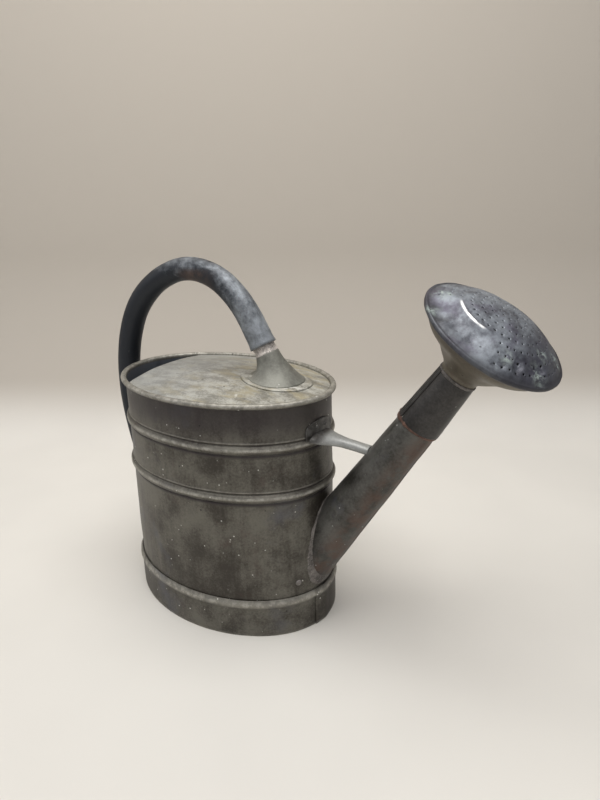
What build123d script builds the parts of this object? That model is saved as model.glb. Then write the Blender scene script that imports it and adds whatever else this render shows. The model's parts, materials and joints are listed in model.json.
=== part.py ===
from build123d import *
import os
from math import cos, radians, sin, sqrt, tan

# Oval garden watering can in zinc-coated sheet, millimetres, +Z up.
# The origin is the middle of the oval foot on the ground. +X points at the spout.

# ---------------------------------------------------------------- driving sizes
# Oval body
oval_half_length = 125.8      # outer face of the wall at the rim, along X
oval_half_width = 86.1        # outer face of the wall at the rim, along Y
rim_height = 270.0            # centre of the wired rim above the ground
foot_spread = 4.6             # how much wider each side would be at the ground
sheet = 0.9                   # thickness of the body sheet
bead_drops = (100.5, 46.5)    # middles of the two swaged beads, below the rim
bead_width = 8.0
bead_depth = 3.0
rim_roll_radius = 3.0         # outside radius of the rolled top edge
wire_play = 0.05              # between the wire and the roll round it
seam_offset = 24.0            # the wall's lap seam, beside the middle of the back
seam_width = 7.0

# Foot and bottom
foot_height = 46.0            # top of the foot band, where it closes on the wall
foot_shoulder = 36.5          # where the straight band turns into its bead
foot_reach = 6.7              # band's outer face beyond the rim's wall line, at the ground
shoulder_reach = 6.2          # the same, at the shoulder
foot_bead_depth = 1.6         # how far the band's bead stands out past its shoulder
bottom_height = 38.0          # upper face of the bottom plate
bottom_flange = 8.0           # turned-down edge of the bottom plate
plate_play = 0.1              # round the edge of the bottom plate and of the deck
foot_lap_start = -24.0        # the band's lap, in Y
foot_lap_width = 12.0

# Deck (the fixed half lid)
deck_drop = 1.6               # from the rim down to the deck's upper face at its edge
deck_rise = 10.0              # how much higher the middle of its crown is
deck_edge = -82.7             # straight rear edge of the deck
deck_flange = 8.0

# Handle
handle_radius = 12.3
handle_sheet = 1.0
leg_gap = 11.6                              # between the wall and the upright rear leg
shoulder_drop = 31.6                        # below the rim, where the rear leg is upright
leg_bend = (300.0, 22.0)                    # radius and degrees, down and in to the wall
leg_run_in = 45.0                           # straight end of the leg, cut to the wall
handle_bends = ((200.0, 22.5), (120.0, 50.0), (76.0, 57.0), (120.0, 22.0))
handle_front_run = 26.0                     # straight end over the neck
neck_step = 0.5                             # how much thinner the neck is than the tube
neck_length = 9.0                           # bare neck between the tube and the cone
neck_insert = 10.0                          # hidden length inside the tube
neck_play = 0.1
socket_lean = 10.7                          # the cone's foot ahead of its top, in X
socket_radius = 30.0                        # foot of the cone
socket_waist = (0.486, 0.411, 0.286)        # share of its lean, height and flare at the waist
waist_tilt = 17.0
socket_plate_half_length = 39.0
socket_plate_half_width = 33.0
socket_plate_sheet = 1.0

# Spout
spout_angle = 57.9            # above the ground
root_gap = 8.285              # from the foot band up to the spout's lowest point
spout_root_radius = 26.1
spout_taper = 0.0417          # radius lost for each millimetre of length
spout_length = 222.4          # from the wall to the tip, on the centre line
spout_sheet = 0.8
solder_width = 3.0
solder_depth = 1.6
spout_run_in = 18.4           # extra length for the cut at the wall
root_rivet_gap = 15.8         # rivets beside the root, out from the spout's radius
root_rivet_lift = 16.5        # the same rivets, above the foot band
root_rivet_radius = 3.2
root_rivet_rise = 1.9

# Strut between the body and the spout
strut_sheet = 1.0
strut_along = 122.6           # where the strut meets the spout's upper line, from the wall
ear_span = (-31.0, 10.0)      # Y of the ear bent up against the wall
ear_rise = 23.5               # top of the ear above the upper bead's middle
ear_corner = 9.0
strut_lift = 3.5              # its centre line at the wall, above the upper bead's middle
strut_seat = 1.9              # its centre line below the spout's upper line, where they meet
strut_bend = ((0.22, 0.55, 0.71, 12.5), (0.52, 0.2, 0.38, 7.6))
# shares of its run in X, of the ear's offset and of its drop, then half width
strut_half_height = 5.2
strut_half_width = 6.6
strut_tab_radius = 9.0
strut_tab_shift = 2.0         # tab's middle, further up the spout than the strut's
strut_rivet_radius = 2.0
strut_rivet_rise = 1.2
strut_rivet_pitch = 14.0
strut_rivet_drop = 8.0        # below the top of the ear
rivet_shoulder = (0.75, 0.55)  # of every rivet, as shares of its radius and rise

# Rose
sleeve_overlap = 42.0         # how far its sleeve reaches over the spout's tip
sleeve_length = 58.8
collar_thickness = 1.25       # tip collar, at the sleeve's mouth
sleeve_taper = 0.061
rose_sheet = 0.8
slip_clearance = 0.3          # sleeve to tip collar, all round
collar_setback = 4.0          # tip collar starts this far inside the mouth
mouth_ring_width = 3.0
mouth_ring_rise = 0.9
neck_ring_radius = 1.3
fold_angle = 32.0             # the sleeve's folded seam, round from its top
fold_width = 6.0
fold_rise = 1.0
head_lean = 8.3               # the head is bent this far to the side
head_depth = 48.6             # from the sleeve's end to the rim's plane
head_radius = 65.3            # outside of the rolled rim
head_roll_radius = 2.5
flare = ((0.12, 0.034), (0.28, 0.204), (0.48, 0.43), (0.72, 0.784))  # shares of depth, width
dome_rise = 21.0
dome_shoulder = (0.766, 0.619)  # shares of radius and rise where the dome turns down
hole_radius = 0.8
hole_ring_pitch = 8.0
hole_border = 9.0             # plain border outside the last ring of holes
holes_per_step = 8            # ring n has n times this many holes

# ---------------------------------------------------------------- sizes that follow
bead_heights = tuple(rim_height - drop for drop in bead_drops)
deck_height = rim_height - deck_drop
shoulder_point = (-oval_half_length - leg_gap - handle_radius, rim_height - shoulder_drop)
neck_radius = handle_radius - neck_step
spout_root_height = foot_height + root_gap + spout_root_radius / cos(radians(spout_angle))
root_reach = spout_root_radius * tan(radians(spout_angle))  # root's ends, along the spout
spout_start = -root_reach - spout_run_in
rose_mouth = spout_length - sleeve_overlap
ear_top = bead_heights[-1] + ear_rise
core_depth = 30.0             # of the band inside the wall's face that cuts what lands on it

# ---------------------------------------------------------------- directions
spout_dir = Vector(cos(radians(spout_angle)), 0, sin(radians(spout_angle)))
spout_up = Vector(-sin(radians(spout_angle)), 0, cos(radians(spout_angle)))


def wall_spread(height):
    """How far the wall's outer face stands beyond the oval line at a height."""
    return foot_spread * (1 - height / rim_height)


def wall_x(side, height, offset=0.0):
    """X of the wall's outer face at a Y position and height, on the spout side."""
    length = oval_half_length + wall_spread(height) + offset
    width = oval_half_width + wall_spread(height) + offset
    return length * sqrt(1 - (side / width) ** 2)


spout_root = Vector(wall_x(0, spout_root_height), 0, spout_root_height)
spout_axis = Axis(spout_root, spout_dir)


def spout_radius(along):
    """Outer radius of the spout tube at a distance from the wall."""
    return spout_root_radius - spout_taper * along


collar_play = rose_sheet + slip_clearance
sleeve_mouth_radius = spout_radius(rose_mouth) + collar_thickness + collar_play


def sleeve_radius(along):
    """Outer radius of the rose's sleeve at a distance from the wall."""
    return sleeve_mouth_radius - sleeve_taper * (along - rose_mouth)


# ---------------------------------------------------------------- helpers
def oval_route():
    """The oval that the wall's outer face follows at the rim."""
    return Edge.make_ellipse(oval_half_length, oval_half_width)


def face_line(offset, low, high, beads):
    """Line up the wall at an offset from its outer face, bulging over each bead."""
    def place(out, height):
        return (oval_half_length + wall_spread(height) + out, height)

    point = place(offset, low)
    for height in beads:
        start = place(offset, height - bead_width / 2)
        end = place(offset, height + bead_width / 2)
        Line(point, start)
        ThreePointArc(start, place(offset + bead_depth, height), end)
        point = end
    Line(point, place(offset, high))


def wall_outline(outer, inner, low, high, beads):
    """Closed outline between two offsets from the wall's outer face."""
    face_line(outer, low, high, beads)
    face_line(inner, low, high, beads)
    for height in (low, high):
        line = oval_half_length + wall_spread(height)
        Line((line + outer, height), (line + inner, height))


def wall_ring(outer, inner, low, high, beads=()):
    """Ring that follows the oval wall between two offsets from its outer face."""
    with BuildPart() as ring:
        with BuildSketch(Plane.XZ):
            with BuildLine():
                wall_outline(outer, inner, low, high, beads)
            make_face()
        sweep(path=oval_route())
    return ring.part


def deck_crown(lift, inset, low, rear):
    """Solid under the crowned deck, from the height low up, in front of X = rear."""
    reach = oval_half_length - sheet - plate_play - inset
    squash = (oval_half_width - sheet - plate_play) / (oval_half_length - sheet - plate_play)
    edge = deck_height + lift
    with BuildPart() as crown:
        with BuildSketch(Plane.XZ):
            with BuildLine():
                TangentArc((0, edge + deck_rise), (reach, edge), tangent=(1, 0))
                Polyline((reach, edge), (reach, low), (0, low), (0, edge + deck_rise))
            make_face()
        revolve(axis=Axis.Z)
        scale(by=(1, squash, 1))
        split(bisect_by=Plane.YZ.offset(rear), keep=Keep.TOP)
    return crown.part


def spout_turned(*outline):
    """Solid turned about the spout's centre line from (distance, radius) points."""
    side = Plane(origin=spout_root, x_dir=spout_dir, z_dir=(0, -1, 0))
    with BuildPart() as turned:
        with BuildSketch(side):
            with BuildLine():
                Polyline(*outline, close=True)
            make_face()
        revolve(axis=spout_axis)
    return turned.part


def rounds_loft(*rounds):
    """Loft through discs, each given as (plane, radius)."""
    with BuildPart() as body:
        for plane, radius in rounds:
            with BuildSketch(plane):
                Circle(radius)
        loft()
    return body.part


def domed_rivet(place, outward, radius, rise):
    """Shallow domed rivet head standing on a surface."""
    shoulder_out, shoulder_up = rivet_shoulder
    side = outward.cross(Vector(0, 0, 1)).normalized()
    with BuildPart() as head:
        with BuildSketch(Plane(origin=place, x_dir=side, z_dir=side.cross(outward))):
            with BuildLine():
                ThreePointArc((0, rise), (radius * shoulder_out, rise * shoulder_up), (radius, 0))
                Polyline((radius, 0), (radius, -sheet / 2), (0, -sheet / 2), (0, rise))
            make_face()
        revolve(axis=Axis(place, outward))
    return head.part


def wall_spot(side, height):
    """Place and outward direction on the wall's outer face at a Y position and height."""
    spread = wall_spread(height)
    front = wall_x(side, height)
    outward = Vector(
        front / (oval_half_length + spread) ** 2, side / (oval_half_width + spread) ** 2, 0
    )
    return Vector(front, side, height), outward.normalized()


os.makedirs("parts", exist_ok=True)

# ---------------------------------------------------------------- body wall
wall_low = bottom_height - bottom_flange
seam_skin = wall_ring(sheet, -sheet / 2, foot_height, rim_height - rim_roll_radius, bead_heights)
water_in = spout_start - spout_run_in
water_out = root_reach + spout_run_in / 2
water_way = spout_turned(
    (water_in, 0),
    (water_in, spout_radius(water_in) - spout_sheet),
    (water_out, spout_radius(water_out) - spout_sheet),
    (water_out, 0),
)
roll_centre = (oval_half_length - sheet + rim_roll_radius, rim_height)

with BuildPart() as wall_seam:
    with BuildSketch(Plane.YZ.offset(-oval_half_length - foot_spread - bead_depth - sheet)):
        with Locations((seam_offset, rim_height / 2)):
            Rectangle(seam_width, rim_height)
    extrude(amount=oval_half_length)
    add(seam_skin, mode=Mode.INTERSECT)

with BuildPart() as body_wall:
    with BuildSketch(Plane.XZ):
        with BuildLine():
            wall_outline(0, -sheet, wall_low, rim_height, bead_heights)
        make_face()
        with Locations(roll_centre):
            Circle(rim_roll_radius)
            Circle(rim_roll_radius - sheet, mode=Mode.SUBTRACT)
    sweep(path=oval_route())
    add(water_way, mode=Mode.SUBTRACT)
    add(wall_seam.part)
body_wall.part.label = "body_wall"
export_step(body_wall.part, "parts/body_wall.step")

with BuildPart() as rim_wire:
    with BuildSketch(Plane.XZ):
        with Locations(roll_centre):
            Circle(rim_roll_radius - sheet - wire_play)
    sweep(path=oval_route())
rim_wire.part.label = "rim_wire"
export_step(rim_wire.part, "parts/rim_wire.step")

# Everything inside the wall's outer face, used to cut what lands on the wall
with BuildPart() as wall_core:
    add(wall_ring(0, -core_depth, 0, rim_height, bead_heights))
    with BuildSketch():
        Ellipse(oval_half_length - core_depth / 2, oval_half_width - core_depth / 2)
    extrude(amount=rim_height)

# ---------------------------------------------------------------- foot band and bottom
foot_line = oval_half_length + foot_reach
shoulder_line = oval_half_length + shoulder_reach
with BuildPart() as foot_ring:
    with BuildSketch(Plane.XZ):
        with BuildLine():
            closing = oval_half_length + wall_spread(foot_height)
            tucked = oval_half_length + wall_spread(foot_height - sheet)
            crest = (foot_shoulder + foot_height) / 2
            Line((foot_line, 0), (shoulder_line, foot_shoulder))
            ThreePointArc(
                (shoulder_line, foot_shoulder),
                (shoulder_line + foot_bead_depth, crest),
                (closing, foot_height),
            )
            Line((closing, foot_height), (tucked, foot_height - sheet))
            ThreePointArc(
                (tucked, foot_height - sheet),
                (shoulder_line + foot_bead_depth - sheet, crest - sheet / 2),
                (shoulder_line - sheet, foot_shoulder),
            )
            Polyline((shoulder_line - sheet, foot_shoulder), (foot_line - sheet, 0), (foot_line, 0))
        make_face()
    sweep(path=oval_route())

with BuildPart() as foot_lap:
    with BuildSketch(Plane.XZ):
        with BuildLine():
            Polyline(
                (foot_line - sheet / 2, 0),
                (foot_line + sheet, 0),
                (shoulder_line + sheet, foot_shoulder),
                (shoulder_line - sheet / 2, foot_shoulder),
                close=True,
            )
        make_face()
    sweep(path=oval_route())
    with BuildSketch(Plane.YZ):
        with Locations((foot_lap_start + foot_lap_width / 2, 0)):
            Rectangle(foot_lap_width, foot_height * 2)
    extrude(amount=oval_half_length * 2, mode=Mode.INTERSECT)

with BuildPart() as foot_band:
    add(foot_ring.part)
    add(foot_lap.part)
foot_band.part.label = "foot_band"
export_step(foot_band.part, "parts/foot_band.step")

bottom_spread = wall_spread(bottom_height) - sheet - plate_play
with BuildPart() as bottom_plate:
    with BuildSketch(Plane.XY.offset(wall_low)):
        Ellipse(oval_half_length + bottom_spread, oval_half_width + bottom_spread)
    extrude(amount=bottom_flange)
    with BuildSketch(Plane.XY.offset(wall_low)):
        Ellipse(oval_half_length + bottom_spread - sheet, oval_half_width + bottom_spread - sheet)
    extrude(amount=bottom_flange - sheet, mode=Mode.SUBTRACT)
bottom_plate.part.label = "bottom_plate"
export_step(bottom_plate.part, "parts/bottom_plate.step")

# ---------------------------------------------------------------- deck
deck_low = deck_height - deck_flange
deck_outside = deck_crown(0, 0, deck_low, deck_edge)
deck_inside = deck_crown(-sheet, sheet, deck_low - sheet, deck_edge + sheet)
with BuildPart() as deck_plate:
    add(deck_outside)
    add(deck_inside, mode=Mode.SUBTRACT)
deck_plate.part.label = "deck_plate"
export_step(deck_plate.part, "parts/deck_plate.step")

# ---------------------------------------------------------------- handle
with BuildLine(Plane.XZ) as leg_line:
    leg_radius, leg_turn = leg_bend
    leg_arc = JernArc(shoulder_point, (0, -1), leg_radius, leg_turn)
    leg_foot = leg_arc @ 1 + (leg_arc % 1) * leg_run_in

with BuildLine() as handle_line:
    Line(leg_foot, leg_arc @ 1)
    add(leg_arc)
    point = leg_arc @ 0
    heading = 90.0
    for bend_radius, bend_turn in handle_bends:
        toward = Vector(sin(radians(heading)), 0, -cos(radians(heading)))
        centre = point + toward * bend_radius
        halfway = radians(heading - bend_turn / 2)
        heading -= bend_turn
        finish = radians(heading)
        middle = centre - Vector(sin(halfway), 0, -cos(halfway)) * bend_radius
        ending = centre - Vector(sin(finish), 0, -cos(finish)) * bend_radius
        ThreePointArc(point, middle, ending)
        point = ending
    front_dir = Vector(cos(radians(heading)), 0, sin(radians(heading)))
    handle_front = point + front_dir * handle_front_run
    Line(point, handle_front)

handle_route = handle_line.wires()[0]
with BuildPart() as handle_tube:
    with BuildSketch(Plane(origin=handle_route @ 0, z_dir=handle_route % 0)):
        Circle(handle_radius)
        Circle(handle_radius - handle_sheet, mode=Mode.SUBTRACT)
    sweep(path=handle_route)
    add(wall_core.part, mode=Mode.SUBTRACT)
handle_tube.part.label = "handle_tube"
export_step(handle_tube.part, "parts/handle_tube.step")

neck_foot = handle_front + front_dir * neck_length
spigot_radius = handle_radius - handle_sheet - neck_play
with BuildPart() as handle_neck:
    with BuildSketch(Plane(origin=neck_foot, z_dir=-front_dir)):
        Circle(neck_radius)
    extrude(amount=neck_length)
    with BuildSketch(Plane(origin=handle_front, z_dir=-front_dir)):
        Circle(spigot_radius)
    extrude(amount=neck_insert)
    with BuildSketch(Plane(origin=neck_foot, z_dir=-front_dir)):
        Circle(spigot_radius - sheet)
    extrude(amount=neck_length + neck_insert, mode=Mode.SUBTRACT)
handle_neck.part.label = "handle_neck"
export_step(handle_neck.part, "parts/handle_neck.step")

socket_centre = neck_foot.X + socket_lean
plate_top = deck_crown(socket_plate_sheet, 0, deck_low, deck_edge)
with BuildPart() as socket_plate:
    with BuildSketch(Plane.XY.offset(deck_low)):
        with Locations((socket_centre, 0)):
            Ellipse(socket_plate_half_length, socket_plate_half_width)
    extrude(amount=deck_flange + deck_rise * 2)
    add(plate_top, mode=Mode.INTERSECT)
    add(deck_outside, mode=Mode.SUBTRACT)
socket_plate.part.label = "socket_plate"
export_step(socket_plate.part, "parts/socket_plate.step")

waist_lean, waist_fall, waist_flare = socket_waist
waist_x = neck_foot.X + socket_lean * waist_lean
waist_z = neck_foot.Z + (deck_height - neck_foot.Z) * waist_fall
waist_radius = neck_radius + (socket_radius - neck_radius) * waist_flare
waist_dir = Vector(sin(radians(waist_tilt)), 0, -cos(radians(waist_tilt)))
neck_plane = Plane(origin=neck_foot, x_dir=(0, 1, 0), z_dir=front_dir)
waist_plane = Plane(origin=(waist_x, 0, waist_z), x_dir=(0, 1, 0), z_dir=waist_dir)
foot_plane = Plane(origin=(socket_centre, 0, deck_height), x_dir=(0, 1, 0), z_dir=(0, 0, -1))
socket_outside = rounds_loft(
    (neck_plane, neck_radius), (waist_plane, waist_radius), (foot_plane, socket_radius)
)
socket_inside = rounds_loft(
    (neck_plane, neck_radius - sheet),
    (waist_plane, waist_radius - sheet),
    (foot_plane, socket_radius - sheet),
)
with BuildPart() as handle_socket:
    add(socket_outside)
    add(socket_inside, mode=Mode.SUBTRACT)
    add(plate_top, mode=Mode.SUBTRACT)
handle_socket.part.label = "handle_socket"
export_step(handle_socket.part, "parts/handle_socket.step")

# ---------------------------------------------------------------- spout
spout_outside = spout_turned(
    (spout_start, 0),
    (spout_start, spout_radius(spout_start)),
    (spout_length, spout_radius(spout_length)),
    (spout_length, 0),
)
with BuildPart() as spout_tube:
    add(spout_outside)
    add(
        spout_turned(
            (spout_start, 0),
            (spout_start, spout_radius(spout_start) - spout_sheet),
            (spout_length, spout_radius(spout_length) - spout_sheet),
            (spout_length, 0),
        ),
        mode=Mode.SUBTRACT,
    )
    add(wall_core.part, mode=Mode.SUBTRACT)
spout_tube.part.label = "spout_tube"
export_step(spout_tube.part, "parts/spout_tube.step")

with BuildPart() as spout_solder:
    add(
        spout_turned(
            (spout_start, 0),
            (spout_start, spout_radius(spout_start) + solder_width),
            (spout_root_radius * 2, spout_radius(spout_root_radius * 2) + solder_width),
            (spout_root_radius * 2, 0),
        )
    )
    add(spout_outside, mode=Mode.SUBTRACT)
    add(wall_ring(solder_depth, 0, foot_height, rim_height), mode=Mode.INTERSECT)
spout_solder.part.label = "spout_solder"
export_step(spout_solder.part, "parts/spout_solder.step")

rivet_side = spout_root_radius + root_rivet_gap
rivet_height = foot_height + root_rivet_lift
with BuildPart() as spout_rivets:
    for side in (-rivet_side, rivet_side):
        rivet_at, rivet_out = wall_spot(side, rivet_height)
        add(domed_rivet(rivet_at, rivet_out, root_rivet_radius, root_rivet_rise))
    add(wall_core.part, mode=Mode.SUBTRACT)
spout_rivets.part.label = "spout_rivets"
export_step(spout_rivets.part, "parts/spout_rivets.step")

collar_start = rose_mouth + collar_setback
with BuildPart() as spout_collar:
    add(
        spout_turned(
            (collar_start, 0),
            (collar_start, sleeve_radius(collar_start) - collar_play),
            (spout_length, sleeve_radius(spout_length) - collar_play),
            (spout_length, 0),
        )
    )
    add(spout_outside, mode=Mode.SUBTRACT)
spout_collar.part.label = "spout_collar"
export_step(spout_collar.part, "parts/spout_collar.step")

# ---------------------------------------------------------------- strut
ear_middle = sum(ear_span) / 2
ear_width = ear_span[1] - ear_span[0]
strut_start = oval_half_length - core_depth / 2
strut_rise_at_wall = bead_heights[-1] + strut_lift
strut_meets = spout_root + spout_dir * strut_along + spout_up * spout_radius(strut_along)
strut_reach = strut_meets.X
strut_height_at_spout = strut_meets.Z - strut_seat
strut_run = strut_reach - oval_half_length
strut_drop = strut_rise_at_wall - strut_height_at_spout
strut_stations = [
    # X, Y and Z of the middle, then half width
    (strut_start, ear_middle * 1.2, strut_rise_at_wall + strut_seat, ear_width * 0.55),
]
for run_share, ear_share, drop_share, half_width in strut_bend:
    strut_stations.append(
        (
            oval_half_length + strut_run * run_share,
            ear_middle * ear_share,
            strut_height_at_spout + strut_drop * drop_share,
            half_width,
        )
    )
strut_stations.append((strut_reach, 0, strut_height_at_spout, strut_half_width))
strut_stations.append((strut_reach + strut_tab_radius, 0, strut_height_at_spout, strut_half_width))


def strut_loft(inset):
    """The strut's flattened tube, smaller all round by inset."""
    with BuildPart() as tube:
        for station_x, station_y, station_z, half_width in strut_stations:
            with BuildSketch(Plane.YZ.offset(station_x)):
                with Locations((station_y, station_z)):
                    Ellipse(half_width - inset, strut_half_height - inset)
        loft()
    return tube.part


strut_outside = strut_loft(0)
strut_inside = strut_loft(strut_sheet)
tab_along = (Vector(strut_reach, 0, strut_height_at_spout) - spout_root).dot(spout_dir)
ear_low = bead_heights[-1] + bead_width / 2
ear_skin = wall_ring(strut_sheet, 0, ear_low, rim_height)

with BuildPart() as strut_ear:
    with BuildSketch(Plane.YZ.offset(strut_start)):
        with Locations((ear_middle, (ear_top + strut_rise_at_wall) / 2)):
            RectangleRounded(ear_width, ear_top - strut_rise_at_wall + ear_corner, ear_corner)
    extrude(amount=core_depth)
    add(ear_skin, mode=Mode.INTERSECT)

with BuildPart() as strut_tab:
    tab_origin = spout_root + spout_dir * (tab_along + strut_tab_shift)
    with BuildSketch(Plane(origin=tab_origin, x_dir=spout_dir, z_dir=spout_up)):
        Circle(strut_tab_radius)
    extrude(amount=spout_root_radius * 2)
    add(
        spout_turned(
            (0, 0),
            (0, spout_radius(0) + strut_sheet),
            (spout_length, spout_radius(spout_length) + strut_sheet),
            (spout_length, 0),
        ),
        mode=Mode.INTERSECT,
    )

with BuildPart() as strut:
    add(strut_outside)
    add(strut_inside, mode=Mode.SUBTRACT)
    add(wall_core.part, mode=Mode.SUBTRACT)
    add(strut_tab.part)
    add(spout_outside, mode=Mode.SUBTRACT)
    add(strut_ear.part)
strut.part.label = "strut"
export_step(strut.part, "parts/strut.step")

with BuildPart() as strut_rivets:
    for side in (ear_middle - strut_rivet_pitch / 2, ear_middle + strut_rivet_pitch / 2):
        rivet_at, rivet_out = wall_spot(side, ear_top - strut_rivet_drop)
        head_at = rivet_at + rivet_out * strut_sheet
        add(domed_rivet(head_at, rivet_out, strut_rivet_radius, strut_rivet_rise))
    add(strut_ear.part, mode=Mode.SUBTRACT)
strut_rivets.part.label = "strut_rivets"
export_step(strut_rivets.part, "parts/strut_rivets.step")

# ---------------------------------------------------------------- rose
sleeve_end = rose_mouth + sleeve_length
fold_out = spout_up.rotate(Axis((0, 0, 0), spout_dir), fold_angle)
with BuildPart() as sleeve_fold:
    with BuildSketch(Plane(origin=spout_root, x_dir=spout_dir, z_dir=fold_out)):
        with Locations((rose_mouth + sleeve_length / 2, 0)):
            Rectangle(sleeve_length, fold_width)
    extrude(amount=sleeve_mouth_radius * 2)
    add(
        spout_turned(
            (rose_mouth, sleeve_radius(rose_mouth) - rose_sheet / 2),
            (rose_mouth, sleeve_radius(rose_mouth) + fold_rise),
            (sleeve_end, sleeve_radius(sleeve_end) + fold_rise),
            (sleeve_end, sleeve_radius(sleeve_end) - rose_sheet / 2),
        ),
        mode=Mode.INTERSECT,
    )

with BuildPart() as rose_sleeve:
    add(
        spout_turned(
            (rose_mouth, sleeve_radius(rose_mouth) - rose_sheet),
            (rose_mouth, sleeve_radius(rose_mouth)),
            (sleeve_end, sleeve_radius(sleeve_end)),
            (sleeve_end, sleeve_radius(sleeve_end) - rose_sheet),
        )
    )
    add(sleeve_fold.part)
rose_sleeve.part.label = "rose_sleeve"
export_step(rose_sleeve.part, "parts/rose_sleeve.step")

ring_inner = sleeve_radius(rose_mouth) - rose_sheet
with BuildPart() as rose_mouth_ring:
    add(
        spout_turned(
            (rose_mouth - mouth_ring_width, ring_inner),
            (rose_mouth - mouth_ring_width, ring_inner + rose_sheet),
            (rose_mouth - mouth_ring_width / 2, ring_inner + rose_sheet + mouth_ring_rise),
            (rose_mouth, ring_inner + rose_sheet + mouth_ring_rise / 2),
            (rose_mouth, ring_inner),
        )
    )
rose_mouth_ring.part.label = "rose_mouth_ring"
export_step(rose_mouth_ring.part, "parts/rose_mouth_ring.step")


def head_plane(share):
    """Plane across the head at a share of its depth, leaning more towards the rim."""
    lean = radians(head_lean * share)
    out = spout_dir * cos(lean) - Vector(0, sin(lean), 0)
    return Plane(
        origin=spout_root + spout_dir * (sleeve_end + head_depth * share),
        x_dir=spout_up,
        z_dir=out,
    )


rim_plane = head_plane(1)
rim_side = Plane(origin=rim_plane.origin, x_dir=spout_up, z_dir=spout_up.cross(rim_plane.z_dir))
head_axis = Axis(rim_plane.origin, rim_plane.z_dir)
roll_line = head_radius - head_roll_radius
shoulder_radius = head_radius * dome_shoulder[0]
shoulder_rise = dome_rise * dome_shoulder[1]
hole_rings = int((head_radius - hole_border) / hole_ring_pitch)
with BuildPart() as rose_face:
    with BuildSketch(rim_side):
        with BuildLine():
            crown = TangentArc((0, dome_rise), (shoulder_radius, shoulder_rise), tangent=(1, 0))
            TangentArc(crown @ 1, (roll_line + head_roll_radius, 0), tangent=crown % 1)
            Line((roll_line + head_roll_radius, 0), (roll_line + head_roll_radius - rose_sheet, 0))
            hidden = TangentArc(
                (0, dome_rise - rose_sheet),
                (shoulder_radius - rose_sheet / 2, shoulder_rise - rose_sheet),
                tangent=(1, 0),
            )
            TangentArc(
                hidden @ 1, (roll_line + head_roll_radius - rose_sheet, 0), tangent=hidden % 1
            )
            Line((0, dome_rise), (0, dome_rise - rose_sheet))
        make_face()
        with Locations((roll_line, 0)):
            Circle(head_roll_radius)
    revolve(axis=head_axis)
    with BuildSketch(rim_plane):
        Circle(hole_radius)
        for ring in range(1, hole_rings + 1):
            with PolarLocations(ring * hole_ring_pitch, ring * holes_per_step):
                Circle(hole_radius)
    extrude(amount=dome_rise * 2, mode=Mode.SUBTRACT)
rose_face.part.label = "rose_face"
export_step(rose_face.part, "parts/rose_face.step")

neck_bore = sleeve_radius(sleeve_end)
flare_outside = [(head_plane(0), neck_bore)]
flare_inside = [(head_plane(0), neck_bore - rose_sheet)]
for share, width_share in flare + ((1.0, 1.0),):
    radius = neck_bore + (roll_line - neck_bore) * width_share
    flare_outside.append((head_plane(share), radius))
    flare_inside.append((head_plane(share), radius - rose_sheet))
flare_skin = rounds_loft(*flare_outside)
flare_hollow = rounds_loft(*flare_inside)
with BuildPart() as rose_cone:
    add(flare_skin)
    add(flare_hollow, mode=Mode.SUBTRACT)
    add(rose_face.part, mode=Mode.SUBTRACT)
rose_cone.part.label = "rose_cone"
export_step(rose_cone.part, "parts/rose_cone.step")

with BuildPart() as rose_neck_ring:
    with BuildSketch(Plane(origin=spout_root, x_dir=spout_dir, z_dir=(0, -1, 0))):
        with Locations((sleeve_end, neck_bore + neck_ring_radius / 2)):
            Circle(neck_ring_radius)
    revolve(axis=spout_axis)
    add(rose_sleeve.part, mode=Mode.SUBTRACT)
    add(flare_skin, mode=Mode.SUBTRACT)
rose_neck_ring.part.label = "rose_neck_ring"
export_step(rose_neck_ring.part, "parts/rose_neck_ring.step")
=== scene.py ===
import json
import random
from math import acos, asin, atan2, cos, degrees, hypot, pi, radians, sin, sqrt

import bpy
from mathutils import Matrix, Vector, geometry, noise


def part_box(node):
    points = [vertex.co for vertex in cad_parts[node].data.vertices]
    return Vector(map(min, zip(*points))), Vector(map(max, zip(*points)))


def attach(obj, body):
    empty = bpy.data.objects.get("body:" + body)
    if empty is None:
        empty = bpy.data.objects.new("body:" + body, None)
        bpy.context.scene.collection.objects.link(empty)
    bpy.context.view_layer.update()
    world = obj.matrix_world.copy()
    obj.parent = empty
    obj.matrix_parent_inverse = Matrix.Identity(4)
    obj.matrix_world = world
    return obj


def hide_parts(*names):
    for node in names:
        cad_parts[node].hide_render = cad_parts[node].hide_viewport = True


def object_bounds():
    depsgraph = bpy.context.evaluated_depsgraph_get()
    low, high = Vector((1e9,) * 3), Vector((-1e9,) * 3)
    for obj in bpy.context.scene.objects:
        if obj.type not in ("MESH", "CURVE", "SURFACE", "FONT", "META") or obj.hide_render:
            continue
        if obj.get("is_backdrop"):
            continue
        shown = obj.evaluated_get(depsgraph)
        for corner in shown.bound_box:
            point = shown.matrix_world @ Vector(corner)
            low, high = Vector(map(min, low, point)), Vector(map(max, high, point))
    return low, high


bl_info = {
    "name": "Oval Watering Can",
    "version": (1, 0, 0),
    "blender": (4, 5, 0),
    "location": "3D View > Sidebar > Watering Can",
    "description": "Builds the sheet metal, solder and wear of an oval garden watering can round its frame",
    "category": "Add Mesh",
}

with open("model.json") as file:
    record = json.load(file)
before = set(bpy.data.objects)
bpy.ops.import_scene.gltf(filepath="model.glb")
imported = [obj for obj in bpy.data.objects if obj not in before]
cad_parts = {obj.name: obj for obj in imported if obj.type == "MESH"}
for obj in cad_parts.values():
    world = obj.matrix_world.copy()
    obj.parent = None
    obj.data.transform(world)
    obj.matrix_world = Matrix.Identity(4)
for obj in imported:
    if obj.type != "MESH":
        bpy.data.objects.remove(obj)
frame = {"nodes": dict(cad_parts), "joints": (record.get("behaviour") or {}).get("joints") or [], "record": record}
frame_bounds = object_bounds()

MM = 0.001
UP = Vector((0, 0, 1))
HALVINGS = 40  # steps in the search for a place on the wall


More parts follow.
